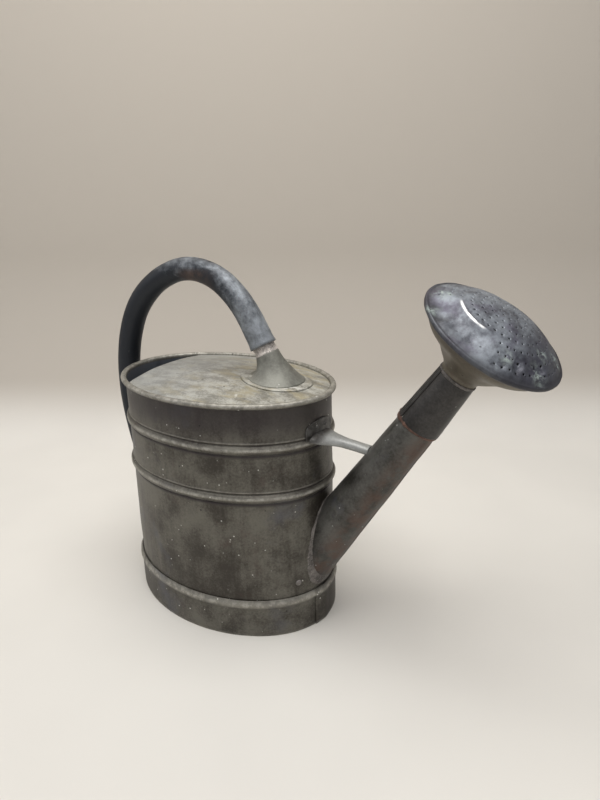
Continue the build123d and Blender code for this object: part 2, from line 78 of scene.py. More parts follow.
# ------------------------------------------------------------------ places read from the frame
def mount_place(name):
    """Where a named mount of the record is, in metres."""
    for mount in frame["record"]["mounts"]:
        if mount["name"] == name:
            return Vector(mount["pos_m"])
    raise KeyError(name)


WIRE_LOW, WIRE_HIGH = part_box("rim_wire")
RIM_HEIGHT = (WIRE_LOW.z + WIRE_HIGH.z) / 2
WALL_LOW, WALL_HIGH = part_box("body_wall")
FOOT_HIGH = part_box("foot_band")[1]
DECK_LOW, DECK_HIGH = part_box("deck_plate")
SPOUT_DIR = Vector(frame["joints"][0]["axis"]).normalized()
SPOUT_UP = Vector((-SPOUT_DIR.z, 0, SPOUT_DIR.x))
SPOUT_TIP = mount_place("spout_tip")


# ------------------------------------------------------------------ sizes and colours a user changes
def length(name, description, default):
    """A length property in metres."""
    return bpy.props.FloatProperty(name=name, description=description, default=default, unit="LENGTH")


def number(name, description, default, low=0.0, high=1.0):
    """A plain factor between two limits."""
    return bpy.props.FloatProperty(name=name, description=description, default=default, min=low, max=high)


def whole(name, description, default):
    """A whole number of things."""
    return bpy.props.IntProperty(name=name, description=description, default=default, min=1)


def angle(name, description, default_degrees):
    """An angle property, given in degrees."""
    return bpy.props.FloatProperty(
        name=name, description=description, default=radians(default_degrees), unit="ROTATION"
    )


def colour(name, description, default):
    """A linear colour property."""
    return bpy.props.FloatVectorProperty(
        name=name, description=description, default=default, subtype="COLOR", size=3, min=0, max=1
    )


class BodySettings(bpy.types.PropertyGroup):
    """Sizes and colours of the oval wall, the foot and the bottom."""

    sheet: length("Sheet", "Thickness of the body sheet", 0.9 * MM)
    roll_radius: length("Rim roll", "Outside radius of the rolled rim", 3.0 * MM)
    foot_spread: length("Foot spread", "How much wider each side would be at the ground", 4.6 * MM)
    low_bead: length("Low bead", "Height of the lower swaged bead", 169.5 * MM)
    high_bead: length("High bead", "Height of the upper swaged bead", 223.5 * MM)
    bead_width: length("Bead width", "Width of each swaged bead", 8.5 * MM)
    bead_depth: length("Bead depth", "How far each bead stands out", 3.0 * MM)
    dent_depth: length("Dents", "Depth of the wall's broad dents", 1.1 * MM)
    seam_offset: length("Seam", "The wall's lap seam, beside the middle of the back", 24.0 * MM)
    seam_width: length("Seam width", "Width of the lap seam", 7.0 * MM)
    lap_start: length("Foot lap", "Free edge of the foot band's lap, in Y", -24.0 * MM)
    lap_width: length("Lap width", "Width of the foot band's lap", 12.0 * MM)
    light: colour("Light zinc", "Worn and limed zinc", (0.150, 0.142, 0.118))
    dark: colour("Dark zinc", "Weathered zinc in the shade of the rim", (0.040, 0.034, 0.027))
    tint: colour("Blue bloom", "Bluish bloom on the zinc", (0.088, 0.090, 0.108))
    rust: colour("Brown stain", "Brown and purple stains", (0.075, 0.050, 0.042))


class DeckSettings(bpy.types.PropertyGroup):
    """Sizes and colours of the deck and of the socket's plate."""

    rise: length("Crown", "How much higher the middle of the deck is than its edge", 10.6 * MM)
    edge_height: length("Edge height", "Upper face of the deck at its edge", 269.6 * MM)
    flange: length("Flange", "Turned-down edge of the deck", 8.0 * MM)
    dent_depth: length("Dents", "Depth of the deck's broad dents", 1.0 * MM)
    plate_x: length("Plate", "Middle of the socket's plate, in X", 68.0 * MM)
    plate_long: length("Plate length", "Half length of the socket's plate", 39.0 * MM)
    plate_wide: length("Plate width", "Half width of the socket's plate", 33.0 * MM)
    light: colour("Lime", "Pale lime and worn zinc", (0.44, 0.43, 0.38))
    dark: colour("Grey zinc", "Darker weathered zinc", (0.19, 0.18, 0.15))
    tint: colour("Ochre", "Yellowish earth stain", (0.33, 0.29, 0.19))


class HandleSettings(bpy.types.PropertyGroup):
    """Sizes and colours of the hoop handle and its socket."""

    leg_radius: length("Leg bend", "Radius of the rear leg's bend", 300.0 * MM)
    leg_turn: angle("Leg turn", "Turn of the rear leg's bend", 22.0)
    shoulder_x: length("Shoulder X", "Where the rear leg is upright, in X", -149.7 * MM)
    shoulder_z: length("Shoulder Z", "Where the rear leg is upright, in Z", 238.4 * MM)
    front_run: length("Front run", "Straight front end of the tube", 26.0 * MM)
    rear_radius: length("Rear radius", "Tube radius at the rear leg", 12.3 * MM)
    top_radius: length("Top radius", "Tube radius at the top of the hoop", 11.4 * MM)
    bell_radius: length("Bell radius", "Flared front end of the tube", 13.5 * MM)
    neck_radius: length("Neck radius", "Soldered neck under the tube's front end", 11.8 * MM)
    neck_length: length("Neck length", "Bare length of the neck", 9.0 * MM)
    socket_x: length("Socket", "Middle of the cone's foot, in X", 68.0 * MM)
    socket_radius: length("Socket foot", "Radius of the cone's foot", 30.0 * MM)
    waist_x: length("Waist X", "Middle of the cone's waist, in X", 62.5 * MM)
    waist_z: length("Waist Z", "Height of the cone's waist", 289.0 * MM)
    waist_radius: length("Waist radius", "Radius of the cone's waist", 17.0 * MM)
    waist_tilt: angle("Waist tilt", "How far the waist leans forward", 17.0)
    # light is both the polished zinc and the painted highlight on the hoop's front and crest.
    light: colour("Polished", "Zinc polished by hands", (0.38, 0.41, 0.44))
    dark: colour("Dark", "Dark blue-grey patina", (0.022, 0.025, 0.031))
    stain: colour("Brown wear", "Brown patch under the top of the hoop", (0.105, 0.070, 0.055))
    cone_light: colour("Cone light", "Pale streaks on the socket", (0.26, 0.26, 0.225))
    cone_dark: colour("Cone dark", "Dark streaks on the socket", (0.115, 0.113, 0.096))


class SpoutSettings(bpy.types.PropertyGroup):
    """Sizes and colours of the spout, its solder and the strut."""

    reach: length("Length", "Spout from the wall to its tip, on the centre line", 222.4 * MM)
    root_radius: length("Root radius", "Radius where the centre line meets the wall", 26.1 * MM)
    taper: number("Taper", "Radius lost for each unit of length", 0.0417)
    sheet: length("Sheet", "Thickness of the spout's sheet", 0.8 * MM)
    rivet_side: length("Rivet side", "Y of the rivets beside the root", 41.9 * MM)
    rivet_height: length("Rivet height", "Z of the rivets beside the root", 62.5 * MM)
    ear_middle: length("Ear", "Y of the middle of the strut's ear", -10.5 * MM)
    ear_width: length("Ear width", "Width of the strut's ear", 41.0 * MM)
    ear_top: length("Ear top", "Z of the top of the ear", 247.0 * MM)
    ear_rivet_height: length("Ear rivets", "Z of the rivets through the ear", 239.0 * MM)
    ear_rivet_pitch: length("Rivet pitch", "Distance between the ear's rivets", 14.0 * MM)
    strut_reach: length("Strut reach", "X of the strut's spout end", 176.0 * MM)
    strut_end: length("Strut end", "Z of the strut's spout end", 216.5 * MM)
    light: colour("Light", "Worn zinc on the spout", (0.115, 0.112, 0.102))
    dark: colour("Dark", "Weathered zinc on the spout", (0.024, 0.022, 0.018))
    rust: colour("Brown", "Reddish brown underside", (0.105, 0.062, 0.045))
    strut_light: colour("Strut light", "Pale blue-grey zinc of the strut", (0.42, 0.425, 0.41))
    strut_dark: colour("Strut dark", "Darker zinc of the strut", (0.21, 0.215, 0.205))
    solder: colour("Solder", "Dull pinkish grey solder", (0.40, 0.365, 0.335))


class RoseSettings(bpy.types.PropertyGroup):
    """Sizes and colours of the rose."""

    mouth: length("Mouth", "Mouth of the sleeve, along the spout from the wall", 180.4 * MM)
    sleeve: length("Sleeve", "Length of the sleeve", 58.8 * MM)
    mouth_radius: length("Mouth radius", "Outer radius of the sleeve at its mouth", 20.93 * MM)
    sleeve_taper: number("Sleeve taper", "Radius lost for each unit of length", 0.061)
    sheet: length("Sheet", "Thickness of the rose's sheet", 0.8 * MM)
    fold_angle: angle("Fold", "The sleeve's folded seam, round from its top", 32.0)
    fold_width: length("Fold width", "Width of the folded seam", 6.0 * MM)
    head_lean: angle("Lean", "How far the head is bent to the side", 8.3)
    head_depth: length("Depth", "From the sleeve's end to the plane of the rim", 48.6 * MM)
    head_radius: length("Radius", "Outside radius of the rose's rim", 65.3 * MM)
    roll_radius: length("Roll", "Radius of the rose's rolled rim", 2.5 * MM)
    dome_rise: length("Dome", "Height of the perforated dome", 21.0 * MM)
    hole_radius: length("Hole", "Radius of each water hole", 0.8 * MM)
    hole_pitch: length("Hole pitch", "Distance between rings of holes", 8.0 * MM)
    hole_rings: whole("Rings", "Rings of holes round the middle one", 7)
    hole_step: whole("Step", "Ring n has n times this many holes", 8)
    face_light: colour("Face light", "Blue-grey sheen of the face", (0.265, 0.29, 0.32))
    face_dark: colour("Face dark", "Dark violet patina of the face", (0.035, 0.034, 0.045))
    verdigris: colour("Verdigris", "Pale green deposit", (0.36, 0.42, 0.39))
    cone_light: colour("Cone light", "Worn zinc behind the face", (0.17, 0.15, 0.115))
    cone_dark: colour("Cone dark", "Olive-brown zinc behind the face", (0.062, 0.050, 0.036))
    sleeve_light: colour("Sleeve light", "Worn zinc of the sleeve", (0.070, 0.066, 0.062))
    sleeve_dark: colour("Sleeve dark", "Dark zinc of the sleeve", (0.018, 0.016, 0.015))
    ring_rust: colour("Ring rust", "Rusty ring at the sleeve's mouth", (0.15, 0.082, 0.060))


class StageSettings(bpy.types.PropertyGroup):
    """Camera, floor and backdrop."""

    distance: length("Distance", "From the camera to the point that it looks at", 0.61401)
    side: length("Aim side", "Aim point's shift across the view", 83.76 * MM)
    aim_height: length("Aim height", "Aim point's height", 240.97 * MM)
    azimuth: angle("Azimuth", "Camera's turn round the can", 29.25)
    elevation: angle("Elevation", "Camera's height above the level", 19.9)
    roll: angle("Roll", "Camera's roll", -0.84)
    lens: bpy.props.FloatProperty(name="Lens", description="Focal length", default=24.23, unit="CAMERA")
    floor: colour("Floor", "Pale cloth of the floor", (0.79, 0.765, 0.71))
    wall: colour("Backdrop", "Shaded cloth of the backdrop", (0.475, 0.435, 0.38))


# ------------------------------------------------------------------ shader nodes as expressions
class Socket:
    """A shader socket that takes part in Python arithmetic; each operation adds a Math node."""

    def __init__(self, shader, socket):
        self.shader = shader
        self.socket = socket

    def math(self, operation, *others, clamp=False):
        """A Math node that combines this value with others."""
        inputs = {0: self}
        inputs.update({index + 1: other for index, other in enumerate(others)})
        settings = {"operation": operation, "use_clamp": clamp}
        return self.shader.node("ShaderNodeMath", settings, inputs)

    def __add__(self, other):
        return self.math("ADD", other)

    def __radd__(self, other):
        return self.math("ADD", other)

    def __sub__(self, other):
        return self.math("SUBTRACT", other)

    def __rsub__(self, other):
        return self.shader.node("ShaderNodeMath", {"operation": "SUBTRACT"}, {0: other, 1: self})

    def __mul__(self, other):
        return self.math("MULTIPLY", other)

    def __rmul__(self, other):
        return self.math("MULTIPLY", other)

    def __truediv__(self, other):
        return self.math("DIVIDE", other)

    def __pow__(self, other):
        return self.math("POWER", other)

    def __abs__(self):
        return self.math("ABSOLUTE")

    def clamped(self):
        """This value held between 0 and 1."""
        return self.math("ADD", 0.0, clamp=True)

    def above(self, low, high):
        """Rises smoothly from 0 at low to 1 at high."""
        settings = {"interpolation_type": "SMOOTHSTEP"}
        inputs = {"Value": self, "From Min": low, "From Max": high}
        return self.shader.node("ShaderNodeMapRange", settings, inputs)

    def below(self, low, high):
        """Falls smoothly from 1 at low to 0 at high."""
        return 1 - self.above(low, high)

    def near(self, middle, width):
        """1 at a middle value, falling smoothly to 0 a width away on each side."""
        return abs(self - middle).below(0.0, width)


class Shader:
    """A material's node tree with one method that adds any node."""

    def __init__(self, name):
        self.material = bpy.data.materials.new(name)
        self.material.use_nodes = True
        self.tree = self.material.node_tree
        self.bsdf = self.tree.nodes["Principled BSDF"]
        coordinates = self.tree.nodes.new("ShaderNodeTexCoord")
        self.place = Socket(self, coordinates.outputs["Object"])
        self.normal = Socket(self, coordinates.outputs["Normal"])
        parts = self.node("ShaderNodeSeparateXYZ", {}, {"Vector": self.place}, all_outputs=True)
        self.x, self.y, self.z = (Socket(self, output) for output in parts)

    def node(self, kind, settings, inputs, output=0, all_outputs=False):
        """Adds a node: its type, its settings, then the values or links of its sockets."""
        made = self.tree.nodes.new(kind)
        for key, value in settings.items():
            setattr(made, key, value)
        for key, value in inputs.items():
            target = made.inputs[key]
            if isinstance(value, Socket):
                self.tree.links.new(value.socket, target)
            else:
                target.default_value = value
        if all_outputs:
            return made.outputs
        return Socket(self, made.outputs[output])

    def dot(self, first, second):
        """Dot product of two vectors."""
        return self.node(
            "ShaderNodeVectorMath", {"operation": "DOT_PRODUCT"}, {0: first, 1: second}, output="Value"
        )

    def stretched(self, scale_x, scale_y, scale_z):
        """The object's place, scaled for each axis."""
        return self.node(
            "ShaderNodeVectorMath",
            {"operation": "MULTIPLY"},
            {0: self.place, 1: (scale_x, scale_y, scale_z)},
        )

    def noise(self, scale, detail=4.0, roughness=0.55, place=None, seed=0.0):
        """Fractal noise between about 0 and 1, with its own seed."""
        return self.node(
            "ShaderNodeTexNoise",
            {"noise_dimensions": "4D"},
            {
                "Vector": place or self.place,
                "W": seed,
                "Scale": scale,
                "Detail": detail,
                "Roughness": roughness,
            },
        )

    def specks(self, scale, size, share, place=None, seed=0.0):
        """Small round spots: one cell in every so many holds a spot of about that size."""
        cells = self.node(
            "ShaderNodeTexVoronoi",
            {"voronoi_dimensions": "4D", "feature": "F1"},
            {"Vector": place or self.place, "W": seed, "Scale": scale, "Randomness": 1.0},
            all_outputs=True,
        )
        gap = Socket(self, cells["Distance"])
        pick = self.node("ShaderNodeSeparateColor", {}, {"Color": Socket(self, cells["Color"])})
        chosen = pick.below(share, share + 0.02)
        return gap.below(size * 0.5, size) * chosen

    def mix(self, factor, first, second, blend="MIX"):
        """A colour mixed from two colours by a factor."""
        def full(value):
            return value if isinstance(value, Socket) else (*value[:3], 1.0)

        return self.node(
            "ShaderNodeMix",
            {"data_type": "RGBA", "blend_type": blend},
            {0: factor, 6: full(first), 7: full(second)},
            output=2,
        )

    def finish(self, colour, roughness, metallic, bump=None, bump_depth=0.3, bump_reach=0.001):
        """Feeds the shader's main sockets and returns the material."""
        shader = self.bsdf.inputs
        for key, value in (("Base Color", colour), ("Roughness", roughness), ("Metallic", metallic)):
            if isinstance(value, Socket):
                self.tree.links.new(value.socket, shader[key])
            elif key == "Base Color":
                shader[key].default_value = (*value[:3], 1.0)
            else:
                shader[key].default_value = value
        if bump is not None:
            normal = self.node(
                "ShaderNodeBump", {}, {"Height": bump, "Strength": bump_depth, "Distance": bump_reach}
            )
            self.tree.links.new(normal.socket, shader["Normal"])
        return self.material


# ------------------------------------------------------------------ finishes
def weathered_zinc(
    name, light, dark, tint, stain, streak=0.5, lime=0.5, wear=None, shade=None, inside=None,
    metal=0.45, gloss=0.5, spread=0.26, seed=0.0,
):
    """Old zinc coat: clouded patina, upright run marks, lime specks, black pits and worn ridges; its masks can add
    painted shade, painted light on an inner face and a painted highlight on ridges.

    wear and shade are functions that take the shader and return masks, or None. The wear mask is painted as rubbed
    zinc and, on the body's ridges, also as a painted highlight; the shade mask is painted shade.
    """
    shader = Shader(name)
    broad = shader.noise(9.0, 3.0, 0.5, seed=seed)
    cloud = shader.noise(34.0, 6.0, 0.62, seed=seed + 1)
    grain = shader.noise(420.0, 4.0, 0.7, seed=seed + 2)
    flecks = shader.noise(1300.0, 2.0, 0.6, seed=seed + 3)
    runs = shader.noise(60.0, 5.0, 0.65, place=shader.stretched(1.0, 1.0, 0.09), seed=seed + 4)
    fine_runs = shader.noise(230.0, 3.0, 0.6, place=shader.stretched(1.0, 1.0, 0.05), seed=seed + 5)
    body = broad * 0.35 + cloud * 0.40 + grain * 0.25
    body = body + (runs - 0.5) * streak * 0.5 + (fine_runs - 0.5) * streak * 0.25
    paint = shader.mix(body.above(0.5 - 0.5 * spread, 0.5 + 0.5 * spread), dark, light)
    bloom = (shader.noise(14.0, 4.0, 0.6, seed=seed + 6).above(0.54, 0.72) * 0.75).clamped()
    paint = shader.mix(bloom, paint, tint)
    brown = shader.noise(21.0, 5.0, 0.7, seed=seed + 7).above(0.56, 0.74) * 0.6
    paint = shader.mix(brown, paint, stain)
    if shade is not None:
        mask, shaded = shade(shader)
        paint = shader.mix(mask, paint, shaded)
    # Painted light: the inner face is lifted to a lighter bluish grey.
    if inside is not None:
        paint = shader.mix(inside(shader) * (0.6 + 0.4 * cloud), paint, (0.20, 0.22, 0.25))
    # Ridge colour: rubbed zinc, and on the body's rim and bead ridges also a painted highlight.
    worn = shader.noise(150.0, 4.0, 0.7, seed=seed + 8).above(0.42, 0.62)
    bright = tuple(min(1.0, c * 2.4 + 0.10) for c in light)
    if wear is not None:
        ridge = (wear(shader) * (0.45 + worn * 0.55)).clamped()
        paint = shader.mix(ridge * 0.85, paint, bright)
    patch = shader.noise(48.0, 5.0, 0.75, seed=seed + 9).above(0.63, 0.75)
    dots = shader.specks(240.0, 0.26, 0.16, seed=seed + 10)
    big_dots = shader.specks(75.0, 0.15, 0.10, seed=seed + 11)
    white = ((dots + big_dots) * 0.75 + patch * flecks.above(0.45, 0.6) * 0.55) * lime
    paint = shader.mix(white.clamped(), paint, (0.62, 0.61, 0.56))
    pits = shader.specks(170.0, 0.22, 0.10, seed=seed + 12) * 0.85
    paint = shader.mix(pits.clamped(), paint, (0.012, 0.011, 0.010))
    rough = (gloss + (cloud - 0.5) * 0.35 + white.clamped() * 0.3 + grain * 0.12).clamped()
    metallic = (metal - white.clamped() * metal).clamped()
    height = cloud * 0.5 + grain * 0.35 + white * 0.5 - pits * 1.2 + flecks * 0.15
    return shader.finish(paint, rough, metallic, height, bump_depth=0.35, bump_reach=0.0006)


def body_wear_and_highlight(shader):
    """Ridges of the beads, the rim and the foot's bead, where hands and ground have rubbed; their pale colour is
    partly this wear and partly a painted highlight on the crests.
    """
    sizes = bpy.context.scene.can_body
    # Painted highlight and rubbed wear: pale bands on the rim's top and on the beads' upper crests.
    mask = shader.z.near(RIM_HEIGHT + 1.5 * MM, 4.5 * MM)
    for height in (sizes.low_bead, sizes.high_bead):
        mask = mask + shader.z.near(height + 1.2 * MM, 2.8 * MM)
        mask = mask + shader.z.near(height + 7.6 * MM, 1.4 * MM) * 0.45
    return mask.clamped()


def body_shade(shader):
    """Purplish dark band under the rim and in the corners beside the beads."""
    sizes = bpy.context.scene.can_body
    mask = shader.z.above(RIM_HEIGHT - 48 * MM, RIM_HEIGHT - 14 * MM) * 0.75
    mask = mask * shader.z.below(RIM_HEIGHT - 4 * MM, RIM_HEIGHT - 1 * MM)
    for height in (sizes.low_bead, sizes.high_bead):
        mask = mask + shader.z.near(height - 6.5 * MM, 3.5 * MM) * 0.8
        mask = mask + shader.z.near(height + 6.0 * MM, 2.0 * MM) * 0.5
    return mask.clamped(), (0.036, 0.029, 0.030)


def body_inside_light(shader):
    """The inner face of the wall, painted a lighter bluish grey: painted light, laid over the painted shade band
    there too.
    """
    facing = shader.dot(shader.normal, shader.stretched(1.0, 1.0, 0.0))
    return facing.below(-60 * MM, -20 * MM) * shader.z.below(RIM_HEIGHT - 3 * MM, RIM_HEIGHT - 1 * MM)


def foot_wear(shader):
    """The foot's bead and its scuffed lower edge."""
    mask = shader.z.near(42.0 * MM, 6.0 * MM) * 0.9 + shader.z.below(0.0, 3.0 * MM) * 0.6
    return mask.clamped()


# ------------------------------------------------------------------ mesh helpers
def smooth(low, high, value):
    """0 below low, 1 above high, and a smooth rise between them."""
    share = min(1.0, max(0.0, (value - low) / (high - low)))
    return share * share * (3 - 2 * share)


def bump_at(value, middle, width):
    """Rounded hump of height 1 at a middle value, 0 a width away."""
    share = abs(value - middle) / width
    return 0.0 if share >= 1 else cos(share * pi / 2) ** 2


def rough_noise(place, scale, seed=0.0):
    """Smooth noise between about -1 and 1 at a place in metres; scale is in waves to the metre."""
    x, y, z = (part * scale for part in place)
    return noise.noise(Vector((x + seed, y - seed, z + 2 * seed)))


def cumulative(points):
    """Distance along a line of points, at each point."""
    total = [0.0]
    for first, second in zip(points, points[1:]):
        total.append(total[-1] + (second - first).length)
    return total


def blend_table(stops, value):
    """Smoothly blends between (place, value) stops."""
    if value <= stops[0][0]:
        return stops[0][1]
    for (start, first), (end, second) in zip(stops, stops[1:]):
        if value <= end:
            return first + (second - first) * smooth(start, end, value)
    return stops[-1][1]


def sheet_mesh(name, rings, closed=True, cap_start=False, cap_end=False):
    """Mesh through rings of points; closed joins each ring's last point to its first."""
    width = len(rings[0])
    points = [point for ring in rings for point in ring]
    across = width if closed else width - 1
    faces = []
    for row in range(len(rings) - 1):
        for column in range(across):
            step = (column + 1) % width
            here, over = row * width, (row + 1) * width
            faces.append((here + column, here + step, over + step, over + column))
    if cap_start:
        faces.append(tuple(reversed(range(width))))
    if cap_end:
        faces.append(tuple(range((len(rings) - 1) * width, len(rings) * width)))
    return mesh_piece(name, points, faces)


def mesh_piece(name, points, faces):
    """A smooth-shaded mesh object from points and faces."""
    mesh = bpy.data.meshes.new(name)
    mesh.from_pydata([tuple(point) for point in points], [], faces)
    mesh.validate()
    mesh.update()
    mesh.shade_smooth()
    piece = bpy.data.objects.new(name, mesh)
    bpy.context.scene.collection.objects.link(piece)
    return piece


def thicken(piece, thickness, offset=0.0):
    """Gives a single sheet its thickness: offset 0 keeps the mesh as the middle, -1 as the outer face."""
    modifier = piece.modifiers.new("sheet", "SOLIDIFY")
    modifier.thickness = thickness
    modifier.offset = offset
    modifier.use_even_offset = False
    return piece


def join(name, pieces):
    """Joins several mesh objects, modifiers applied, into one piece."""
    points, faces = [], []
    shaded = bpy.context.evaluated_depsgraph_get()
    for piece in pieces:
        mesh = piece.evaluated_get(shaded).to_mesh()
        start = len(points)
        points.extend(vertex.co.copy() for vertex in mesh.vertices)
        faces.extend(tuple(start + index for index in polygon.vertices) for polygon in mesh.polygons)
    for piece in pieces:
        bpy.data.objects.remove(piece)
    return mesh_piece(name, points, faces)


def place_piece(piece, body, slot, material, *nodes):
    """Gives a piece its finish, hangs it on its body and hides the nodes that it stands for."""
    piece.data.materials.clear()
    piece.data.materials.append(material)
    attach(piece, body)
    if nodes:
        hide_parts(*nodes)
    return piece


def finish_node(node, material):
    """Gives a node that stays as it is its own finish."""
    shown = frame["nodes"][node]
    shown.data.materials.clear()
    shown.data.materials.append(material)


# ------------------------------------------------------------------ the oval wall
class Wall:
    """The oval wall's surface: its line, its spread towards the ground, its beads and its dents."""

    def __init__(self):
        self.sizes = bpy.context.scene.can_body
        reach = self.sizes.sheet - 2 * self.sizes.roll_radius
        self.long = WALL_HIGH.x + reach
        self.wide = WALL_HIGH.y + reach

    def spread(self, height):
        """How far the wall stands beyond its line at a height."""
        return self.sizes.foot_spread * (1 - height / RIM_HEIGHT)

    def point(self, turn, height, out=0.0):
        """Point on the wall at an angle round the oval, a height and a distance outward."""
        outward = self.outward(turn)
        line = Vector((self.long * cos(turn), self.wide * sin(turn), height))
        return line + outward * (self.spread(height) + out)

    def outward(self, turn):
        """Outward direction at an angle round the oval."""
        return Vector((self.wide * cos(turn), self.long * sin(turn), 0)).normalized()

    def inside(self, place):
        """Below 1 inside the wall's outer face, above 1 outside it."""
        spread = self.spread(place.z)
        return hypot(place.x / (self.long + spread), place.y / (self.wide + spread))

    def front(self, side, height, out=0.0):
        """Point on the spout's side of the wall at a Y position and a height."""
        spread = self.spread(height) + out
        along = (self.long + spread) * sqrt(max(0.0, 1 - (side / (self.wide + spread)) ** 2))
        return Vector((along, side, height))

    def front_outward(self, side, height):
        """Outward direction on the spout's side at a Y position."""
        place = self.front(side, height)
        spread = self.spread(height)
        flat = Vector((place.x / (self.long + spread) ** 2, side / (self.wide + spread) ** 2, 0))
        return flat.normalized()

    def beads(self, height):
        """How far the swaged beads stand out at a height."""
        out = 0.0
        half = self.sizes.bead_width / 2
        for middle in (self.sizes.low_bead, self.sizes.high_bead):
            gap = height - middle
            if abs(gap) < half:
                out += self.sizes.bead_depth * sqrt(max(0.0, 1 - (gap / half) ** 2)) ** 1.3
            out += 0.55 * MM * bump_at(gap, half + 3.2 * MM, 1.5 * MM)
            out += 0.35 * MM * bump_at(gap, -half - 2.6 * MM, 1.3 * MM)
            out -= 0.35 * MM * bump_at(gap, half + 1.0 * MM, 1.2 * MM)
            out -= 0.45 * MM * bump_at(gap, -half - 0.6 * MM, 1.2 * MM)
        return out

    def dents(self, turn, height):
        """Broad dents and small knocks; none where other pieces are soldered on."""
        place = self.point(turn, height)
        calm = smooth(50 * MM, 85 * MM, height) * (0.35 + 0.65 * smooth(262 * MM, 238 * MM, height))
        if place.x > 0:
            from_spout = hypot(place.y, (height - 100 * MM) * 0.7)
            calm *= smooth(42 * MM, 62 * MM, from_spout)
            calm *= smooth(20 * MM, 34 * MM, hypot(place.y - self.ear_side(), height - 236 * MM))
        else:
            calm *= smooth(16 * MM, 32 * MM, abs(place.y)) * 0.8 + 0.2 * smooth(205 * MM, 215 * MM, height)
        out = rough_noise(place, 16.0, 3.1) * 0.8 + rough_noise(place, 34.0, 7.7) * 0.35
        out += rough_noise(place, 90.0, 1.9) * 0.10
        for knock_turn, knock_height, radius, depth in KNOCKS:
            gap = hypot((turn - knock_turn) * 100 * MM, height - knock_height)
            out -= depth * bump_at(gap, 0.0, radius)
        return out * self.sizes.dent_depth * calm

    @staticmethod
    def ear_side():
        """Y of the middle of the strut's ear."""
        return bpy.context.scene.can_spout.ear_middle


# Small knocks in the wall: angle round the oval, height, radius, and depth as a share of a dent
KNOCKS = (
    (radians(-62), 96 * MM, 13 * MM, 1.5),
    (radians(-84), 200 * MM, 16 * MM, 1.0),
    (radians(-120), 120 * MM, 22 * MM, 1.1),
    (radians(-38), 140 * MM, 12 * MM, 0.8),
    (radians(58), 115 * MM, 26 * MM, 1.4),
    (radians(100), 205 * MM, 18 * MM, 1.2),
    (radians(140), 90 * MM, 20 * MM, 1.0),
)
ROUND_STEPS = 336


def wall_rows(sizes):
    """Heights for the wall's rows: fine over the beads, coarse between them."""
    heights = []
    height = WALL_LOW.z
    while height < RIM_HEIGHT:
        heights.append(height)
        near = min(abs(height - sizes.low_bead), abs(height - sizes.high_bead))
        height += 0.75 * MM if near < 11 * MM else 4.0 * MM
    return heights


def make_wall():
    """The oval wall with swaged beads, a lap seam, dents and an edge rolled round the rim wire."""
    wall = Wall()
    sizes = wall.sizes
    half_sheet = sizes.sheet / 2
    roll = sizes.roll_radius - half_sheet
    rings = []
    turns = [2 * pi * step / ROUND_STEPS for step in range(ROUND_STEPS)]
    for height in wall_rows(sizes):
        swell = wall.beads(height) - half_sheet
        ring = []
        for turn in turns:
            out = swell + wall.dents(turn, height)
            side = wall.wide * sin(turn)
            if cos(turn) < 0 and height > FOOT_HIGH.z and height < RIM_HEIGHT - 4 * MM:
                half = sizes.seam_width / 2
                lap = smooth(half + 0.8 * MM, half - 0.8 * MM, abs(side - sizes.seam_offset))
                out += sizes.sheet * lap
            ring.append(wall.point(turn, height, out))
        rings.append(ring)
    for step in range(27):
        bend = pi - radians(340) * step / 26
        rise = RIM_HEIGHT + roll * sin(bend)
        ring = []
        for turn in turns:
            wobble = wall.dents(turn, RIM_HEIGHT)
            out = -half_sheet + roll + roll * cos(bend) + wobble * 0.5
            place = wall.point(turn, RIM_HEIGHT, out)
            lump = 0.18 * MM * rough_noise(place, 160.0, 4.4)
            ring.append(Vector((place.x, place.y, rise + lump)))
        rings.append(ring)
    piece = sheet_mesh("oval_wall", rings)
    cut_spout_hole(piece)
    return thicken(piece, sizes.sheet)


def cut_spout_hole(piece):
    """Opens the wall where the spout's water passes through it."""
    sizes = bpy.context.scene.can_spout
    root = SPOUT_TIP - SPOUT_DIR * sizes.reach
    mesh = piece.data
    doomed = []
    for polygon in mesh.polygons:
        middle = polygon.center
        if middle.x <= 0:
            continue
        gap = middle - root
        along = gap.dot(SPOUT_DIR)
        away = (gap - SPOUT_DIR * along).length
        if away < sizes.root_radius - sizes.taper * along - 2.5 * MM:
            doomed.append(polygon.index)
    keep = set(range(len(mesh.polygons))) - set(doomed)
    points = [vertex.co.copy() for vertex in mesh.vertices]
    faces = [tuple(mesh.polygons[index].vertices) for index in sorted(keep)]
    used = sorted({index for face in faces for index in face})
    order = {old: new for new, old in enumerate(used)}
    mesh.clear_geometry()
    mesh.from_pydata([points[index] for index in used], [], [tuple(order[i] for i in face) for face in faces])
    mesh.update()
    mesh.shade_smooth()


class CAN_OT_body(bpy.types.Operator):
    """Makes the oval wall and finishes the wire in its rim"""

    bl_idname = "can.make_body"
    bl_label = "Oval Wall"

    def execute(self, context):
        sizes = context.scene.can_body
        material = weathered_zinc(
            "wall_zinc", sizes.light, sizes.dark, sizes.tint, sizes.rust,
            streak=0.3, lime=1.2, wear=body_wear_and_highlight, shade=body_shade, inside=body_inside_light,
            metal=0.45, gloss=0.42, spread=0.20, seed=1.0,
        )
        place_piece(make_wall(), "can", "body_zinc", material, "body_wall")
        finish_node("rim_wire", material)
        return {"FINISHED"}


